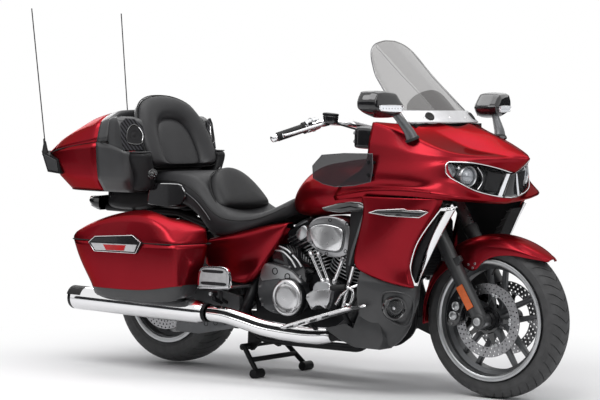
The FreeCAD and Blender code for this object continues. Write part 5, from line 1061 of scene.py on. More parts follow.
def build_engine():
    out = Vector((0, -1, 0))
    gear = [(.64, .495), (.66, .503), (.724, .497), (.794, .476), (.843, .44), (.852, .428), (.846, .41), (.85, .385),
            (.838, .32), (.79, .292), (.704, .288), (.64, .312), (.612, .36), (.614, .42)]
    cast = outline_solid(curved(gear, 3), -.126, -.187, .008)
    shell = add_mesh("gear_cover", cast, "grey_metal", 35)
    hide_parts("engine_covers")
    upper = [(.652, .5), (.724, .494), (.794, .473), (.843, .438), (.849, .426), (.815, .423), (.73, .44),
             (.64, .425), (.632, .46)]
    add_mesh("gear_cover_plate", outline_solid(curved(upper, 2), -.182, -.1935, .004), "aluminium", 35)
    wells = ((.712, .47), (.78, .45))
    holes = [turned_data([(-.001, .0155), (.0015, .015), (.0015, .0115), (-.01, .0105), (-.01, .0004)], spot, out, 24)
             for spot in upright(wells, -.1935)]
    add_mesh("gear_cover_wells", holes, "black_metal")
    rim = ((.628, .345), (.64, .322), (.7, .298), (.826, .322), (.84, .372), (.626, .4))
    add_mesh("gear_cover_bolts", side_bolts(wells, -.1845, .0075, .006) + side_bolts(rim, -.187, .005, .005), "steel")
    centre = at(.79, -.19, .362)
    disc = turned_data([(-.006, .078), (.02, .078), (.026, .074), (.028, .069), (.0265, .066), (.0268, .058),
                        (.0285, .055), (.029, .04), (.0295, .0004)], centre, out, 72)
    add_mesh("round_cover", disc, "satin_chrome", 35)
    ring = turned_data([(-.01, .083), (.012, .083), (.014, .08), (.012, .077)], centre, out, 72)
    add_mesh("round_cover_seat", ring, "black_metal", 35)
    places = [(.79 + .064 * math.cos(a), .362 + .064 * math.sin(a)) for a in map(math.radians, (95, 215, 325))]
    bolts = side_bolts(places, -.2165, .0042, .0035)
    add_mesh("round_cover_bolts", bolts, "steel")
    # cam cover: a fan plate on a dark block, with the tappet block above
    fan = [(.884, .366), (.888, .382), (.921, .4), (.968, .406), (1.008, .41), (1.016, .402), (1.008, .36),
           (.99, .328), (.96, .34), (.935, .336), (.915, .32), (.898, .345)]
    add_mesh("cam_chest", outline_solid(curved(scaled(fan, (.95, .365), 1.1, 1.12), 2), -.126, -.186, .006),
             "grey_metal", 35)
    add_mesh("cam_fan_plate", outline_solid(fan, -.182, -.2015, .004), "satin_chrome", 35)
    places = [(.897, .372), (1.004, .398), (.99, .34), (.916, .33), (.95, .397)]
    add_mesh("cam_bolts", side_bolts(places, -.2015, .0042, .0035), "steel")
    block = [(.915, .396), (.925, .43), (.955, .44), (1.004, .436), (1.008, .404), (.96, .4)]
    add_mesh("tappet_block", outline_solid(curved(block, 2), -.126, -.194, .006), "aluminium", 35)
    # black cover above the gear cover, with bright strips
    black = [(.68, .552), (.69, .575), (.712, .583), (.76, .568), (.796, .548), (.836, .515), (.862, .48),
             (.864, .43), (.84, .44), (.78, .475), (.69, .503)]
    add_mesh("drive_cover", outline_solid(curved(black, 3), -.11, -.176, .008), "gloss_black", 35)
    trims = []
    for points in (((.7, .56), (.745, .552), (.785, .523), (.812, .49)),
                   ((.722, .578), (.765, .563), (.785, .549)), ((.795, .541), (.822, .52), (.842, .495))):
        line = smooth_line(upright(points, -.1775), 5)
        trims.append(tube_data(line, .0042, 8))
    add_mesh("drive_cover_strips", trims, "aluminium", 50)
    places = [(.69, .556), (.78, .49), (.836, .452)]
    add_mesh("drive_cover_bolts", side_bolts(places, -.176, .0055, .005), "steel")
    # left side: primary cover with a raised rim and bolts
    left_outline = [(.56, .33), (.575, .42), (.64, .475), (.76, .49), (.9, .5), (1.01, .47), (1.06, .39), (1.04, .29),
                    (.96, .245), (.82, .24), (.68, .25), (.59, .275)]
    add_mesh("primary_cover", outline_solid(curved(left_outline, 3), .126, .188, .01), "grey_metal", 35)
    inner = scaled(left_outline, (.81, .37), .86, .82)
    add_mesh("primary_plate", outline_solid(curved(inner, 3), .184, .196, .005), "satin_chrome", 35)
    derby = turned_data([(0, .078), (.006, .076), (.008, .07), (.0085, .0004)], at(.69, .195, .372), (0, 1, 0), 60)
    add_mesh("primary_disc", derby, "chrome", 35)
    places = scaled(left_outline, (.81, .37), .93, .91)
    add_mesh("primary_bolts", side_bolts(places, .188, .0055, .005, (0, 1, 0)), "steel")
    build_fins()
    build_rods_and_rockers()
    build_air_cleaner()


BANK_LEAN = math.radians(24)


def bank_axis(way):
    return Vector((math.sin(BANK_LEAN) * way, 0, math.cos(BANK_LEAN)))


def bank_place(way, up, ahead=0.0, y=0.0):
    """A point of a cylinder, the front one for way 1: up its axis and ahead across it."""
    lean = BANK_LEAN * way
    return at(.91 + math.sin(lean) * up + math.cos(lean) * ahead, y,
              .33 + math.cos(lean) * up - math.sin(lean) * ahead)


def build_fins():
    edges, plates = [], []
    for way in (-1, 1):
        axis = bank_axis(way)
        for index in range(9):
            foot = bank_place(way, .1425 + .015 * index)
            edges.append(turned_data([(.0006, .0915), (.0006, .0937), (.0054, .0937), (.0054, .0915)], foot, axis,
                                     72))
        for index in range(4):
            # head fins: square rims with rounded corners
            loop = []
            for quarter, (sx, sy) in enumerate(((1, 1), (-1, 1), (-1, -1), (1, -1))):
                for k in range(5):
                    turn = math.radians(90 * quarter + 22.5 * k)
                    loop.append((sx * .066 + .0205 * math.cos(turn), sy * .078 + .0205 * math.sin(turn)))
            levels = [[bank_place(way, .282 + .0155 * index + up, u * share, v * share) for u, v in loop]
                      for share, up in ((.9, 0), (1.0, .0003), (1.0, .0055), (.9, .0058))]
            plates.append((sum(levels, []), walls(len(levels), len(loop))))
    add_mesh("barrel_fin_edges", edges, "aluminium")
    add_mesh("head_fin_edges", plates, "aluminium")


def build_rods_and_rockers():
    rods, collars = [], []
    for foot, head in (((.966, -.176, .425), (.89, -.182, .565)), ((.984, -.166, .43), (.926, -.172, .565)),
                       ((1.0, -.16, .428), (1.052, -.16, .545))):
        a, b = at(*foot), at(*head)
        rods.append(tube_data([a, b], .0078, 16))
        axis = b - a
        for spot, wide in ((a, .0125), (a + axis * .12, .0105), (b - axis * .1, .011)):
            collars.append(turned_data([(-.006, wide), (.006, wide), (.008, wide * .85)], spot, axis, 20))
    shell = add_mesh("pushrod_sleeves", rods, "chrome", 50)
    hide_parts("pushrod_tubes")
    add_mesh("pushrod_collars", collars, "satin_chrome", 50)
    cover = ((.062, .07), (0, .082), (-.062, .07), (-.072, 0), (-.062, -.07), (0, -.082), (.062, -.07), (.072, 0))
    bolts = []
    for way, word in ((-1, "rear"), (1, "front")):
        axis = bank_axis(way)
        loops = [[bank_place(way, up, u * share, v * share) for u, v in cover]
                 for share, up in ((1.0, .345), (1.0, .368), (.93, .38), (.7, .388), (.3, .391))]
        bolts += [hex_bolt(bank_place(way, .377, u, v), axis, .006, .008) for u in (.05, -.05) for v in (.056, -.056)]
        skin("rocker_cover_" + word, loops, "grey_metal", hard_rows={1: .4}, closed=True, cap="last", twin=False)
    add_mesh("rocker_bolts", bolts, "steel")
    rocker = [(.776, .628), (.792, .652), (.822, .668), (.838, .655), (.842, .63), (.815, .606), (.792, .604)]
    add_mesh("breather_box", outline_solid(curved(rocker, 2), -.095, -.135, .006), "aluminium", 35)


def build_air_cleaner():
    ring = [(.92, .637), (.936, .682), (.976, .711), (1.05, .72), (1.122, .706), (1.147, .678), (1.15, .632),
            (1.147, .59), (1.116, .556), (1.034, .551), (.968, .578), (.932, .604)]
    plate = [(.947, .655), (.978, .68), (1.045, .685), (1.112, .67), (1.121, .64), (1.104, .583), (1.04, .577),
             (.98, .592)]
    base = outline_solid(curved(ring, 4), -.15, -.25, .01)
    shell = add_mesh("air_cleaner_body", base, "brake_steel", 35)
    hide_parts("air_cleaner")
    seat = outline_solid(curved(scaled(plate, (1.038, .632), 1.07, 1.1), 4), -.247, -.2535, .003)
    add_mesh("air_cleaner_seat", seat, "grey_metal", 35)
    add_mesh("air_cleaner_plate", outline_solid(curved(plate, 4), -.25, -.2615, .006), "satin_chrome", 35)
    spots = [(1.048, .7035), (.939, .661), (.949, .606), (1.03, .563), (1.128, .578), (1.135, .69)]
    wells = [turned_data([(-.0015, .0085), (.0012, .0082), (.0012, .006), (-.004, .0055), (-.004, .0003)],
                         at(x, -.25, z), (0, -1, 0), 20) for x, z in spots]
    add_mesh("air_cleaner_bolts", wells, "black_metal")
    duct = [(1.125, .7), (1.165, .69), (1.19, .66), (1.19, .6), (1.165, .57), (1.125, .56)]
    add_mesh("air_cleaner_duct", outline_solid(curved(duct, 3), -.15, -.228, .01), "black_plastic", 35)


# Wheels, brakes and fork

def round_wheel(centre):
    """A function that places (angle, radius, y) on a wheel."""
    def place(turn, radius, y):
        return Vector((centre.x + radius * math.cos(turn), y, centre.z + radius * math.sin(turn)))
    return place


GROOVE_DEPTH = .0042


def tyre_data(centre, half, chevrons, lean):
    """A tyre: its section swept round, with sheared chevron grooves cut into the tread."""
    place = round_wheel(centre)
    side = half[::-1] + [(-y, r) for y, r in half[1:]]
    widest = max(abs(y) for y, _ in side)
    steps = (0, .018, .115, .133, .35, .57, .78)
    verts, faces = [], []
    for k in range(chevrons):
        for j, step in enumerate(steps):
            for y, r in side:
                reach = abs(y) / widest
                turn = 2 * math.pi * (k + step) / chevrons + lean * min(reach, .95)
                cut = GROOVE_DEPTH if j in (1, 2) and .07 < reach < .9 else 0
                verts.append(place(turn, r - cut, y))
    count, across = chevrons * len(steps), len(side)
    for i in range(count):
        a, b = i * across, (i + 1) % count * across
        faces += [(a + j, a + j + 1, b + j + 1, b + j) for j in range(across - 1)]
    return verts, faces


HOLE_ROWS, HOLE_RADIUS = 3, .004


def drilled_disc(centre, y, inner, outer, thick, cells):
    """A brake band with real drilled holes, its rows of holes staggered."""
    place = round_wheel(centre)
    verts, faces = [], []
    width = (outer - inner) / HOLE_ROWS
    for row in range(HOLE_ROWS):
        r0, r1 = inner + row * width, inner + (row + 1) * width
        for cell in range(cells):
            a0 = 2 * math.pi * (cell + .5 * (row % 2) + .12 * row) / cells
            a1 = a0 + 2 * math.pi / cells
            am, rm = (a0 + a1) / 2, (r0 + r1) / 2
            frame_points = [(a0, r0), (am, r0), (a1, r0), (a1, rm), (a1, r1), (am, r1), (a0, r1), (a0, rm)]
            hole_points = []
            for a, r in frame_points:
                u, v = (a - am) * rm, r - rm
                size = math.hypot(u, v)
                hole_points.append((am + u / size * HOLE_RADIUS / rm, rm + v / size * HOLE_RADIUS))
            base = len(verts)
            for face_y in (y - thick / 2, y + thick / 2):
                verts += [place(a, r, face_y) for a, r in frame_points + hole_points]
            # each face's frame round the hole, and the hole's wall
            for i in range(base, base + 8):
                j = base + (i - base + 1) % 8
                faces += [(i, j, j + 8, i + 8), (i + 16, i + 24, j + 24, j + 16), (i + 8, j + 8, j + 24, i + 24)]
    for radius in (inner, outer):
        base = len(verts)
        for i in range(cells * 2):
            turn = math.pi * i / cells
            verts += [place(turn, radius, y - thick / 2), place(turn, radius, y + thick / 2)]
        for i in range(cells * 2):
            a, b = base + 2 * i, base + 2 * ((i + 1) % (cells * 2))
            faces.append((a, a + 1, b + 1, b))
    return verts, faces


CARRIER_ARMS, CARRIER_THICKNESS = 5, .004


def carrier(centre, y, hub, band):
    """The dark spider inside a brake band, with its bright buttons."""
    thick = CARRIER_THICKNESS
    place = round_wheel(centre)
    arm_parts, buttons = [], []
    root, tip = .3, .1
    for k in range(CARRIER_ARMS):
        turn = 2 * math.pi * k / CARRIER_ARMS
        outline = [place(turn - root, hub, y), place(turn - tip, band * .86, y),
                   place(turn - tip * 1.1, band + .004, y), place(turn + tip * 1.1, band + .004, y),
                   place(turn + tip, band * .86, y), place(turn + root, hub, y)]
        arm_parts.append(slab_data([p - Vector((0, thick / 2, 0)) for p in outline], (0, thick, 0), .0006))
        for spin in (turn - tip * .75, turn + tip * .75):
            buttons.append(turned_data([(-.0052, .0004), (-.005, .006), (-.004, .0072), (.004, .0072), (.005, .006),
                                        (.0052, .0004)], place(spin, band + .002, y), (0, 1, 0), 14))
    ring = turned_data([(-thick / 2, hub * .82), (-thick / 2, hub * 1.04), (thick / 2, hub * 1.04),
                        (thick / 2, hub * .82), (-thick / 2, hub * .82)], Vector((centre.x, y, centre.z)), (0, 1, 0),
                       48)
    return joined(arm_parts + [ring]), joined(buttons)


def build_wheels():
    front = [(0, .3195), (.01, .3191), (.02, .3177), (.03, .3152), (.04, .3114), (.049, .306), (.056, .299),
             (.0605, .291), (.0632, .2825), (.064, .2815), (.0646, .274), (.064, .264), (.0625, .256), (.0628, .2535),
             (.0612, .2515), (.059, .247), (.056, .244), (.054, .242)]
    rear = [(0, .3132), (.016, .3129), (.032, .3118), (.048, .3096), (.062, .3062), (.075, .3012), (.086, .2945),
            (.094, .286), (.0983, .276), (.099, .275), (.0996, .266), (.099, .254), (.0965, .244), (.0968, .241),
            (.0945, .238), (.0915, .23), (.088, .225), (.085, .221)]
    shell = add_mesh("front_tyre_tread", tyre_data(FRONT_AXLE, front, 46, .155), "tyre", 32, "front_wheel")
    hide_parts("front_tyre")
    shell = add_mesh("rear_tyre_tread", tyre_data(REAR_AXLE, rear, 40, -.2), "tyre", 32, "rear_wheel")
    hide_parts("rear_tyre")
    for word, axle, lip, y in (("front", FRONT_AXLE, .2455, .0735), ("rear", REAR_AXLE, .2205, .0955)):
        section = ((-.022, -.0245), (-.004, -.019), (0, -.012), (.0005, -.003), (-.001, .0005), (-.006, .0005))
        lips = [turned_data([(way * (y + out), lip + rise) for out, rise in section], axle, (0, 1, 0), 120)
                for way in (-1, 1)]
        add_mesh(word + "_rim_lips", lips, "aluminium", body=word + "_wheel")
        valve = tube_data([axle + Vector((.02, -.05, lip - .035)), axle + Vector((.018, -.072, lip - .06))], .0035,
                          10)
        add_mesh(word + "_valve", valve, "rubber", body=word + "_wheel")
    # drilled bands on dark spiders
    for way, word in ((-1, "right"), (1, "left")):
        y = way * .074
        band = drilled_disc(FRONT_AXLE, y, .107, .149, .005, 38)
        disc = add_mesh(f"front_disc_{word}", band, "brake_steel", body="front_wheel")
        if way == -1:
            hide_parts("front_discs")
        spider, buttons = carrier(FRONT_AXLE, y, .052, .103)
        add_mesh(f"front_disc_carrier_{word}", spider, "gloss_black", body="front_wheel")
        add_mesh(f"front_disc_buttons_{word}", buttons, "aluminium", 50, "front_wheel")
    hubs = [turned_data([(way * y, r) for y, r in ((.078, .016), (.078, .026), (.074, .03), (.066, .04),
                                                   (.05, .046))], FRONT_AXLE, (0, 1, 0), 48) for way in (-1, 1)]
    add_mesh("front_hub_caps", hubs, "black_metal", body="front_wheel")
    band = drilled_disc(REAR_AXLE, -.098, .116, .16, .006, 42)
    disc = add_mesh("rear_disc_band", band, "brake_steel", body="rear_wheel")
    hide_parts("rear_disc")
    spider, buttons = carrier(REAR_AXLE, -.098, .06, .112)
    add_mesh("rear_disc_carrier", spider, "gloss_black", body="rear_wheel")
    add_mesh("rear_disc_buttons", buttons, "aluminium", 50, "rear_wheel")
    build_calipers()
    build_fork()


def fork_place(up, ahead, y):
    """A point of the fork: up its axis from the axle, ahead across it."""
    return FRONT_AXLE + FORK_UP * up + FORK_AHEAD * ahead + Vector((0, y, 0))


def build_calipers():
    # a four-piston body round the disc's rear edge, its side outline along the band
    hub = (FRONT_AXLE.x - AXLE_X, FRONT_AXLE.z)
    outline = []
    for turn, radius in ((128, .172), (143, .176), (160, .178), (177, .176), (190, .17), (193, .14), (186, .112),
                         (172, .104), (155, .104), (141, .104), (131, .112), (126, .142)):
        a = math.radians(turn)
        outline.append((hub[0] + radius * math.cos(a), hub[1] + radius * math.sin(a)))
    loop = curved(outline, 3)
    outer = outline_solid(loop, -.08, -.114, .009)
    inner = outline_solid(loop, -.068, -.056, .004)
    bridge = [p for p in loop if math.dist(p, hub) > .15]
    ridge = outline_solid(bridge + scaled(bridge[::-1], hub, .93), -.082, -.054, .002)
    shell = add_pair("front_caliper_bodies", [outer, inner, ridge], "gloss_black", 35, "steering")
    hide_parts("front_calipers")
    caps = [turned_data([(-.002, .0185), (.004, .018), (.0055, .015), (.004, .0125), (.005, .01), (.0055, .0004)],
                        spot, (0, -1, 0), 32) for spot in upright(((1.583, .372), (1.57, .333)), -.114)]
    bolts = side_bolts(((1.601, .407), (1.566, .3), (1.6, .34)), -.114, .0045, .004)
    add_pair("front_caliper_caps", caps, "aluminium", body="steering")
    add_pair("front_caliper_bolts", bolts, "steel", body="steering")


def build_fork():
    lugs = []
    foot = fork_place(0, 0, -.12)
    shell = turned_data([(-.034, .012), (-.03, .024), (-.02, .0292), (.06, .03), (.09, .03), (.1, .0302),
                         (.39, .0302), (.404, .0325), (.42, .0325), (.424, .029), (.424, .0235)], foot, FORK_UP, 40)
    circle = [2 * math.pi * k / 28 for k in range(28)]
    clamp = outline_solid([(FRONT_AXLE.x - AXLE_X + .03 * math.cos(a), FRONT_AXLE.z + .03 * math.sin(a))
                           for a in circle], -.092, -.15, .004)
    for up in (.235, .3):
        a, b = fork_place(up, -.02, -.098), fork_place(up + .012, -.055, -.092)
        lugs.append(tube_data([a, b], .011, 12))
    lug = [fork_place(.238, .02, -.149), fork_place(.252, .052, -.145), fork_place(.272, .05, -.145),
           fork_place(.276, .018, -.149)]
    lugs.append(slab_data([p + Vector((0, .004, 0)) for p in lug], (0, .02, 0), .003))
    add_pair("fork_sliders", [shell, clamp], "charcoal", body="steering")
    add_pair("fork_lugs", lugs, "charcoal", body="steering")
    tube = turned_data([(.42, .024), (.7, .024)], foot, FORK_UP, 32)
    add_pair("fork_stanchions", tube, "satin_chrome", body="steering")
    axle_end = turned_data([(0, .0165), (.006, .0165), (.008, .0145), (.008, .011), (.003, .0105), (.003, .0004)],
                           FRONT_AXLE + Vector((0, -.15, 0)), (0, -1, 0), 32)
    add_pair("front_axle_caps", axle_end, "aluminium", body="steering")
    lens = [fork_place(.06, -.019, -.1485), fork_place(.06, .015, -.15), fork_place(.164, .013, -.15),
            fork_place(.164, -.021, -.1485)]
    add_pair("fork_reflectors", slab_data(lens, (0, -.0055, 0), .0016), "amber_lens", body="steering")
    back = [p + Vector((0, .012, 0)) for p in lens]
    add_pair("reflector_plates", slab_data(back, (0, -.0125, 0), .001), "black_plastic", body="steering")


def build_front_fender():
    # angle round the axle, radius of the crown, radius of the side's edge, half width
    stations = [(44.5, .361, .352, .03), (48, .357, .34, .052), (54, .352, .318, .068), (62, .3475, .3, .076),
                (72, .3445, .28, .08), (82, .3435, .262, .082), (90, .3425, .246, .084), (97, .3415, .23, .086),
                (101, .341, .21, .088), (107, .3405, .204, .088), (113, .34, .215, .088), (118, .3395, .248, .086),
                (128, .338, .268, .084), (142, .336, .286, .08), (158, .334, .298, .076), (173, .333, .306, .072),
                (186.5, .3325, .312, .068)]
    place = round_wheel(FRONT_AXLE)
    rows = []
    for angle, crown, edge, half in stations:
        section = ((0, crown), (half * .4, crown - .0006), (half * .66, crown - .006), (half * .88, crown - .018),
                   (half, crown - min(.04, (crown - edge) * .5)), (half * 1.02, (crown + edge) / 2 - .008),
                   (half, edge))
        rows.append([place(math.radians(angle), r, -y) for y, r in section])
    fender = skin("front_fender_shell", rows, "candy_red", "steering", hard_cols={2: .55, 3: .25}, rim=.6, wall=.003,
                  merge=True, levels=3)
    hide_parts("front_fender")
    inner = [[place(math.radians(a), r - .013, -y) for y in (0, h * .4, h * .7)] for a, r, _, h in stations[1:-1]]
    skin("front_fender_liner", inner, "black_plastic", "steering", wall=.0015, merge=True)
    bolts = [hex_bolt(place(math.radians(a), r, -.0885), (0, -1, 0), .0055, .004)
             for a, r in ((103, .232), (111, .236), (107, .218))]
    add_pair("fender_bolts", bolts, "steel", body="steering")


def build_exhausts():
    axis = (at(-.33, -.34, .305) - at(.434, -.34, .288)).normalized()
    root = at(.434, -.34, .288)
    length = .7642
    body = turned_data([(-.03, .0345), (-.01, .04), (.02, .0495), (.06, .052), (.3, .0525), (length - .085, .052),
                        (length - .08, .0528), (length - .02, .0528)], root, axis, 56)
    cap = turned_data([(length - .022, .0524), (length - .004, .0518), (length, .05), (length + .0015, .047),
                       (length - .002, .045), (length - .06, .044)], root, axis, 56)
    plug = turned_data([(length - .055, .0442), (length - .05, .03), (length - .01, .029), (length - .008, .0265),
                        (length - .05, .0255), (length - .055, .0004)], root, axis, 40)
    clamp = turned_data([(-.034, .037), (-.034, .0395), (-.018, .0425), (-.016, .04)], root, axis, 48)
    shell = add_pair("muffler_bodies", body, "chrome", 35)
    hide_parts("exhausts")
    add_pair("muffler_caps", [cap, plug], "black_metal", 35)
    add_pair("muffler_clamps", clamp, "black_metal", 35)
    hood = []
    for place, radius in ((length - .08, .0529), (length - .079, .054), (length + .0025, .054),
                          (length + .0025, .045)):
        for k in range(13):
            turn = math.radians(20 + 140 * k / 12)
            hood.append(root + axis * place + Vector((0, -math.cos(turn), math.sin(turn))) * radius)
    quads = [(13 * i + k, 13 * i + k + 1, 13 * i + k + 14, 13 * i + k + 13) for i in range(3) for k in range(12)]
    add_pair("muffler_hoods", (hood, quads), "rubber", 35)
    route = [(1.235, -.135, .47), (1.2, -.16, .43), (1.175, -.245, .31), (1.12, -.285, .245), (1.02, -.297, .226),
             (.88, -.302, .228), (.76, -.315, .24), (.66, -.325, .262), (.56, -.335, .282), (.47, -.34, .287)]
    line = line_through(route, 6)
    add_pair("header_pipes", tube_data(line, .029, 24), "black_metal")
    # two bright shields over each pipe with a dark gap between them
    frames = ring_frames(line)
    for word, low, high in (("lower", -78, 12), ("upper", 38, 86)):
        verts, faces = [], []
        arc = 8
        picked = frames[20:]
        for i, (point, _, _) in enumerate(picked):
            run = (picked[min(i + 1, len(picked) - 1)][0] - picked[max(i - 1, 0)][0]).normalized()
            out = (Vector((0, -1, 0)) - run * Vector((0, -1, 0)).dot(run)).normalized()
            lift = run.cross(out)
            if lift.z < 0:
                lift = -lift
            fade = min(1, i / 3, (len(picked) - 1 - i) / 2 + .35)
            for k in range(arc + 1):
                turn = math.radians(low + (high - low) * k / arc)
                verts.append(point + (out * math.cos(turn) + lift * math.sin(turn)) * (.03 + .005 * fade))
        for i in range(len(picked) - 1):
            for k in range(arc):
                a = i * (arc + 1) + k
                faces.append((a, a + 1, a + arc + 2, a + arc + 1))
        shield = add_pair(f"pipe_shields_{word}", (verts, faces), "chrome")
        mod = shield.modifiers.new("wall", "SOLIDIFY")
        mod.thickness = .0016
        mod.offset = 0
    rear_header = line_through(((.77, -.075, .56), (.7, -.1, .54), (.625, -.12, .5), (.575, -.14, .43),
                                (.565, -.18, .35), (.58, -.24, .295), (.62, -.3, .275)), 6)
    add_mesh("rear_header_pipe", tube_data(rear_header, .022, 20), "black_metal")
    plate = [(.105, .166), (.24, .163), (.4, .194), (.47, .214), (.485, .24), (.47, .252), (.25, .25), (.232, .214),
             (.11, .208)]
    arms = outline_solid(plate, -.128, -.146, .003)
    add_pair("swingarm_braces", arms, "grey_metal")
    holes = [turned_data([(-.0005, .0125), (.0012, .012), (.0012, .0095), (-.003, .0088), (-.003, .0003)],
                         at(x, -.146, z), (0, -1, 0), 24) for x, z in ((.285, .212), (.34, .219), (.395, .226))]
    add_pair("swingarm_brace_holes", holes, "black_metal")


def build_boards():
    # rider boards: bright rim, ribbed rubber top
    near, far = at(.935, 0, .262), at(1.285, 0, .366)
    run = far - near
    up = Vector((-run.z, 0, run.x)).normalized()

    def deck(share, y, lift=0.0):
        return near + run * share + Vector((0, y, 0)) + up * lift

    outline = [(.02, -.35), (0.0, -.365), (0.0, -.42), (.05, -.445), (.2, -.456), (.75, -.456), (.95, -.448),
               (1.0, -.425), (1.0, -.365), (.97, -.35)]
    plate = slab_data([deck(s, y, -.006) for s, y in outline], up * .01, .003)
    shell = add_pair("rider_board_plates", plate, "satin_chrome")
    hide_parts("floorboards")
    rim = smooth_line([deck(s, y, .002) for s, y in outline], 3, closed=True)
    add_pair("rider_board_rims", hoop_data(rim, .0055, 10), "chrome", 50)
    mat = slab_data([deck(s, y, .004) for s, y in scaled(outline, (.5, -.403), .9, .84)], up * .005, .0015)
    add_pair("rider_board_mats", mat, "rubber")
    ribs = [tube_data([deck(.1 + .8 * k / 11, y, .0095) for y in (-.44, -.366)], .0022, 6) for k in range(12)]
    add_pair("rider_board_ribs", ribs, "rubber", 50)
    arms = [tube_data([deck(s, -.352, -.004), at(x, -.245, .215)], .01, 12) for s, x in ((.25, 1.02), (.75, 1.19))]
    add_pair("rider_board_arms", arms, "black_metal", 50)
    slot = ((.985, .272), (1.02, .2825), (1.02, .2765), (.985, .266))
    slots = [side_plate([(x + k * .06, z + k * .0178) for x, z in slot], -.4565, -.0012) for k in range(4)]
    add_pair("rider_board_slots", slots, "black_plastic")
    # brake and shift pedals
    pad = tube_data([at(1.128, -.345, .434), at(1.132, -.345, .434), at(1.196, -.345, .44), at(1.2, -.345, .44)],
                    [.008, .0125, .0125, .008], 16)
    rubber_pad = add_pair("pedal_pads", pad, "rubber", 50)
    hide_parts("foot_controls")
    ends = [turned_data([(0, .0135), (.006, .0135), (.009, .01), (.01, .0004)], at(1.13, -.345, .434), (-1, 0, -.08),
                        20)]
    arm = line_through(((1.205, -.34, .442), (1.228, -.33, .425), (1.212, -.318, .385), (1.188, -.31, .36)), 6)
    rod = line_through(((1.215, -.33, .438), (1.245, -.315, .452), (1.278, -.3, .47)), 5)
    links = [tube_data(arm, .0068, 12), tube_data(rod, .0055, 10),
             tube_data([at(1.14, -.33, .365), at(1.162, -.322, .405), at(1.205, -.325, .436)], .0055, 10),
             turned_data([(-.01, .012), (.01, .012), (.012, .009)], at(1.188, -.312, .36), (0, -1, 0), 20)]
    add_pair("pedal_links", ends + links, "chrome", 50)
    build_passenger_boards()


def build_passenger_boards():
    outline = [(.418, .4), (.42, .44), (.428, .468), (.446, .484), (.48, .49), (.53, .491), (.568, .488),
               (.588, .476), (.597, .45), (.6, .412), (.592, .399), (.43, .39)]
    loop = curved([(x, max(z, .3895)) for x, z in outline], 2)
    frame_plate = outline_solid(loop, -.3465, -.359, .003)
    insert = outline_solid(scaled(loop, (.508, .442), .86, .82), -.357, -.3615, .0015)
    slots = joined([outline_solid(curved([(x0, z), (x0 + .012, z + tall), (x1 - .012, z + tall), (x1, z),
                                          (x1 - .012, z - tall), (x0 + .012, z - tall)], 2), -.36, -.3624, .0005)
                    for x0, x1, z, tall in ((.448, .566, .468, .006), (.44, .582, .416, .0065))])
    for word in ("right", "left"):
        for data, look, kind in ((frame_plate, "chrome", "frame"), (insert, "board_rubber", "insert"),
                                 (slots, "black_plastic", "slots")):
            piece = add_mesh(f"passenger_board_{kind}_{word}", data if word == "right" else mirrored(data), look, 35,
                             f"passenger_board_{word}_body")
            if kind == "frame":
                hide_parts("passenger_board_" + word)
    hanger = [tube_data([at(.5, -.351, .382), at(.5, -.345, .35), at(.495, -.29, .33)], .01, 12),
              tube_data([at(.545, -.351, .382), at(.54, -.345, .352), at(.525, -.29, .332)], .008, 12),
              turned_data([(-.016, .012), (.016, .012), (.018, .009)], at(.5, -.35, .372), (0, -1, 0), 20)]
    add_pair("passenger_board_hangers", hanger, "black_metal", 50)
    add_pair("passenger_board_bolts", side_bolts([(.5, .372)], -.368, .0075, .005), "aluminium", 50)


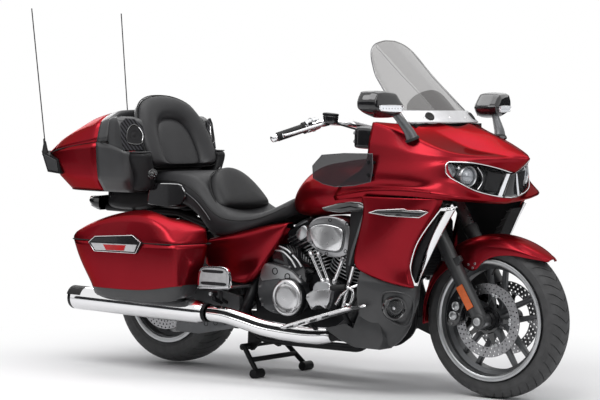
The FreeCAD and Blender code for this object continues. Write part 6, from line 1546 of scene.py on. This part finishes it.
def build_controls():
    """Ribbed grips with bright ends, silver switch housings, fluid tanks and levers."""
    low, high = at(.93, -.4595, 1.046), at(.993, -.3515, 1.0855)
    axis = (high - low).normalized()
    run = (high - low).length
    profile = [(0, .013), (.001, .0175)]
    for k in range(15):
        start, pitch = .004 + (run - .018) * k / 15, (run - .018) / 15
        profile += [(start, .0176), (start + pitch * .3, .0188), (start + pitch * .75, .0188),
                    (start + pitch * .95, .0176)]
    profile += [(run - .012, .0186), (run - .01, .024), (run - .003, .0245), (run - .001, .018), (run, .012)]
    sleeves = add_pair("grip_sleeves", turned_data(profile, low, axis, 36), "rubber", 50, "steering")
    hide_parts("grips")
    end = turned_data([(-.024, .0004), (-.024, .01), (-.02, .0155), (-.005, .0172), (-.001, .0165), (.001, .012)],
                      low, axis, 32)
    add_pair("bar_ends", end, "chrome", 50, "steering")
    side = Vector((0, 0, 1)).cross(axis).normalized()
    lift = axis.cross(side)
    loop = [(-.022, -.02), (-.01, -.028), (.014, -.028), (.026, -.018), (.028, .004), (.02, .024), (-.006, .028),
            (-.022, .016)]
    rows = [[high + axis * (place + .002) + side * u * share + lift * (v * share + .002) for u, v in loop]
            for place, share in ((0, .8), (.004, .98), (.022, 1.0), (.044, 1.0), (.06, .92), (.064, .7))]
    boxes = skin("switch_housings", rows, "aluminium", "steering", hard_rows={1: .5, 4: .4}, closed=True, cap="both")
    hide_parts("hand_controls")
    seam = [high + axis * .033 + side * u * 1.01 + lift * (v * 1.01 + .002) for u, v in loop]
    add_pair("switch_seams", tube_data(smooth_line(seam, 3, closed=True) + seam[:1], .001, 6), "black_plastic", 50,
             "steering")
    keys = []
    for place, rise, size in ((.018, .012, .008), (.018, -.008, .006), (.044, .012, .007), (.044, -.008, .009)):
        spot = high + axis * place - side * .0225 + lift * rise
        corners = ((size, .006), (-size, .006), (-size, -.006), (size, -.006))
        keys.append(slab_data([spot + axis * u + lift * v for u, v in corners], side * -.005, .0015))
    add_pair("switch_keys", keys, "black_plastic", body="steering")
    tank = [(-.029, -.022), (0, -.0265), (.029, -.022), (.034, 0), (.029, .022), (0, .0265), (-.029, .022),
            (-.034, 0)]
    heart = at(1.11, -.332, 1.124)
    rows = [[heart + Vector((u * share, v * share, z - .08 * u)) for u, v in tank]
            for z, share in ((-.022, .7), (-.018, .92), (-.002, .98), (.012, 1.0))]
    skin("fluid_tanks", rows, "gloss_black", "steering", hard_rows={3: .8}, closed=True, cap="both")
    rows = [[heart + Vector((u * share, v * share, z - .08 * u)) for u, v in tank]
            for z, share in ((.0125, 1.04), (.019, 1.04), (.022, .96), (.022, .5))]
    skin("fluid_tank_lids", rows, "black_metal", "steering", hard_rows={0: 1, 1: .6}, closed=True, cap="both")
    neck = tube_data([at(1.1, -.334, 1.106), at(1.075, -.332, 1.101), at(1.045, -.33, 1.098)], .0115, 12)
    add_pair("tank_necks", neck, "black_metal", 50, "steering")
    lever = line_through(((1.09, -.318, 1.108), (1.084, -.35, 1.1), (1.052, -.41, 1.082), (1.01, -.462, 1.062),
                          (.99, -.492, 1.054)), 6)
    widths = [.0085 - .003 * min(1, i / len(lever) * 1.4) for i in range(len(lever) - 1)] + [.0085]
    add_pair("hand_levers", tube_data(lever, widths, 12), "satin_chrome", 50, "steering")
    hoses = line_through(((1.125, -.322, 1.106), (1.16, -.29, 1.092), (1.205, -.225, 1.07), (1.245, -.15, 1.045),
                          (1.266, -.09, 1.02)), 6)
    add_pair("control_hoses", tube_data(hoses, .0042, 8), "rubber", 50, "steering")


def build_tail():
    """Lamp bar behind the fender, corner pads of the trunk and the antennas' feet."""
    profile = [(-.356, .76), (-.4, .758), (-.43, .75), (-.441, .738), (-.436, .722), (-.405, .702), (-.356, .692)]
    rows = []
    for y, share, ahead in ((0, 1.0, 0), (.08, 1.0, 0), (.13, .98, .006), (.152, .9, .016), (.16, .6, .028)):
        rows.append([at(-.356 + (x + .356) * share * (1 - ahead * 4), -y, .727 + (z - .727) * share)
                     for x, z in profile])
    bar = skin("tail_lamp_bar", rows, "gloss_black", hard_cols={0: .8, 3: .5, 5: .4, 6: .8}, rim=.5, merge=True,
               cap="last")
    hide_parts("tail_lamp")
    lens = [[at(x + push, -y, z) for y, x in ((0, -.4425), (.05, -.4425), (.1, -.4405), (.135, -.43))]
            for z, push in ((.7505, .006), (.745, 0), (.73, 0), (.7235, .004))]
    skin("tail_lamp_lens", lens, "red_lens", rim=.8, merge=True, wall=.004)
    under = [[at(x, -y, z) for y in (0, .07, .13)] for x, z in ((-.432, .7135), (-.415, .7035), (-.375, .693))]
    skin("tail_lamp_underside", under, "aluminium", rim=1, merge=True, wall=.003)
    ribs = [tube_data([at(-.4445, y * .0225, .748), at(-.4455, y * .0225, .736), at(-.4445, y * .0225, .7265)], .001,
                      5) for y in range(-5, 6)]
    add_mesh("tail_lamp_ribs", ribs, "red_lens", 50)
    foot = [(-.588, .962), (-.557, .95), (-.482, .925), (-.467, .858), (-.548, .866), (-.574, .925)]
    add_pair("antenna_brackets", side_plate(foot, -.236, -.06), "black_plastic")
    cap = side_plate(((-.572, .948), (-.552, .942), (-.49, .92), (-.478, .868), (-.54, .876), (-.562, .925)), -.2965,
                     -.004, .0015)
    add_pair("antenna_bracket_faces", cap, "charcoal")
    rows = [[at(x, -y, z) for y, x, z in ((0, back, low), (.14, back, low), (.17, back + .02, low + .02),
                                          (.165, back + .02, high), (0, back, high))]
            for back, low, high in ((-.352, .7, .786), (-.2, .69, .786), (-.05, .7, .788), (.005, .72, .8))]
    skin("carrier_cover", rows, "black_plastic", hard_cols={2: .6, 3: .9}, merge=True, rim=.5, cap="both")
    feet = turned_data([(-.016, .015), (0, .015), (.006, .0135), (.03, .0075), (.036, .0055), (.06, .0045)],
                       at(-.575, -.285, .958), (-.1, -.02, .99), 24)
    add_pair("antenna_feet", feet, "rubber", 50)
    band = [[at(x + push, -y, z) for y, x in ((0, -.6145), (.12, -.6105), (.2, -.6), (.236, -.585))]
            for z, push in ((.935, .006), (.93, 0), (.908, .004), (.903, .012))]
    skin("trunk_lamp_band", band, "red_lens", rim=.8, merge=True, wall=.005)
    rim = smooth_line([at(x, -y, z) for y, x, z in ((0, -.6165, .9385), (.12, -.6125, .9385), (.2, -.602, .9385),
                                                    (.24, -.584, .937), (.238, -.576, .901), (.2, -.594, .8995),
                                                    (.12, -.604, .899), (0, -.608, .899))], 4)
    add_pair("trunk_lamp_rims", tube_data(rim, .0022, 6), "gloss_black", 50)


# Studio

def joined_signal(tree, how, first, second):
    """A mask from two signals."""
    made = add_node(tree, "Math")
    made.operation = how
    for signal, socket in zip((first, second), made.inputs):
        tree.links.new(signal, socket)
    return made.outputs[0]


def mix_surfaces(tree, share, below, above, end):
    """Show the second surface by the share, and the first for the rest."""
    mix = add_node(tree, "MixShader")
    for signal, socket in zip((share, below, above), mix.inputs):
        tree.links.new(signal, socket)
    tree.links.new(mix.outputs[0], tree.nodes[end].inputs["Surface"])


def build_world():
    """A grey-white light, with pure white where it is seen."""
    world = bpy.data.worlds.new("studio")
    bpy.context.scene.world = world
    world.use_nodes = True
    tree = world.node_tree
    plain = tree.nodes["Background"]
    plain.inputs["Color"].default_value = (.96, .97, 1.0, 1)
    plain.inputs["Strength"].default_value = .45
    white = add_node(tree, "Background", {"Color": (1, 1, 1, 1)})
    rays = add_node(tree, "LightPath").outputs
    seen = joined_signal(tree, "MAXIMUM", rays["Is Camera Ray"], rays["Is Transmission Ray"])
    seen = joined_signal(tree, "MAXIMUM", seen, rays["Is Glossy Ray"])
    mix_surfaces(tree, seen, plain.outputs[0], white.outputs[0], "World Output")


def build_floor():
    """A matte floor that fades to plain white away from the machine."""
    bpy.ops.mesh.primitive_plane_add(size=60)
    floor = bpy.context.object
    floor.name = "floor"
    mat = bpy.data.materials.new("floor")
    mat.use_nodes = True
    tree = mat.node_tree
    tree.nodes.remove(tree.nodes["Principled BSDF"])
    matte = add_node(tree, "BsdfDiffuse", {"Color": (.93, .93, .93, 1)})
    glow = add_node(tree, "Emission", {"Strength": 1})
    reach = add_node(tree, "VectorMath")
    reach.operation = "LENGTH"
    tree.links.new(add_node(tree, "TexCoord").outputs["Object"], reach.inputs[0])
    fade = add_node(tree, "MapRange", {"From Min": 1.0, "From Max": 2.3})
    fade.interpolation_type = "SMOOTHSTEP"
    tree.links.new(reach.outputs["Value"], fade.inputs["Value"])
    camera_rays = add_node(tree, "LightPath").outputs["Is Camera Ray"]
    seen = joined_signal(tree, "MULTIPLY", camera_rays, fade.outputs["Result"])
    mix_surfaces(tree, seen, matte.outputs[0], glow.outputs[0], "Material Output")
    floor.data.materials.append(mat)


def build_studio():
    """The light of the world, the floor, dark cards that only reflections show, and four lamps."""
    build_world()
    build_floor()
    for name, place, size, turn in (("dark_side", (0, -4.6, .95), (9, 1.9), (90, 0, 0)),
                                    ("dark_front", (5.0, -1.4, .95), (5, 1.9), (90, 0, 72)),
                                    ("dark_left", (0, 4.6, .95), (9, 1.9), (90, 0, 0)),
                                    ("dark_rear", (-4.8, 0, .95), (7, 1.9), (90, 0, 90))):
        bpy.ops.mesh.primitive_plane_add(size=1)
        card = bpy.context.object
        card.name = name
        card.scale = (*size, 1)
        card.rotation_euler = [math.radians(a) for a in turn]
        card.location = place
        card.visible_camera = card.visible_shadow = card.visible_diffuse = card.visible_transmission = False
        card.data.materials.append(shader(name, (.02, .02, .022), .9, 0.0, 0.0, .1, 2.0))

    for name, place, aim, size, power in (("key", (.5, -3.0, 4.2), (.2, 0, .6), (4.5, 2.2), 122),
                                          ("top", (-.2, .6, 4.4), (0, 0, .5), (4.5, 2.0), 68),
                                          ("front", (4.6, -1.2, 2.2), (.5, 0, .7), (1.6, 2.4), 28),
                                          ("rear", (-4.4, 1.8, 2.4), (-.5, 0, .8), (1.6, 2.4), 40)):
        data = bpy.data.lights.new(name, "AREA")
        data.shape = "RECTANGLE"
        data.size, data.size_y = size
        data.energy = power
        lamp = bpy.data.objects.new(name, data)
        lamp.location = place
        lamp.rotation_euler = (Vector(aim) - Vector(place)).to_track_quat("-Z", "Y").to_euler()
        bpy.context.scene.collection.objects.link(lamp)


build_camera()
build_studio()
dress_nodes()
build_upper_fairing()
build_side_panels()
build_front_core()
build_lower_cowls()
build_saddlebags()
build_trunk()
build_speaker_pods()
build_seat()
build_backrest()
build_headlamps()
build_mirrors()
build_windshield()
build_side_trim()
build_side_covers()
build_engine()
build_wheels()
build_front_fender()
build_exhausts()
build_boards()
build_controls()
build_tail()

bpy.context.scene.view_settings.view_transform = "Standard"
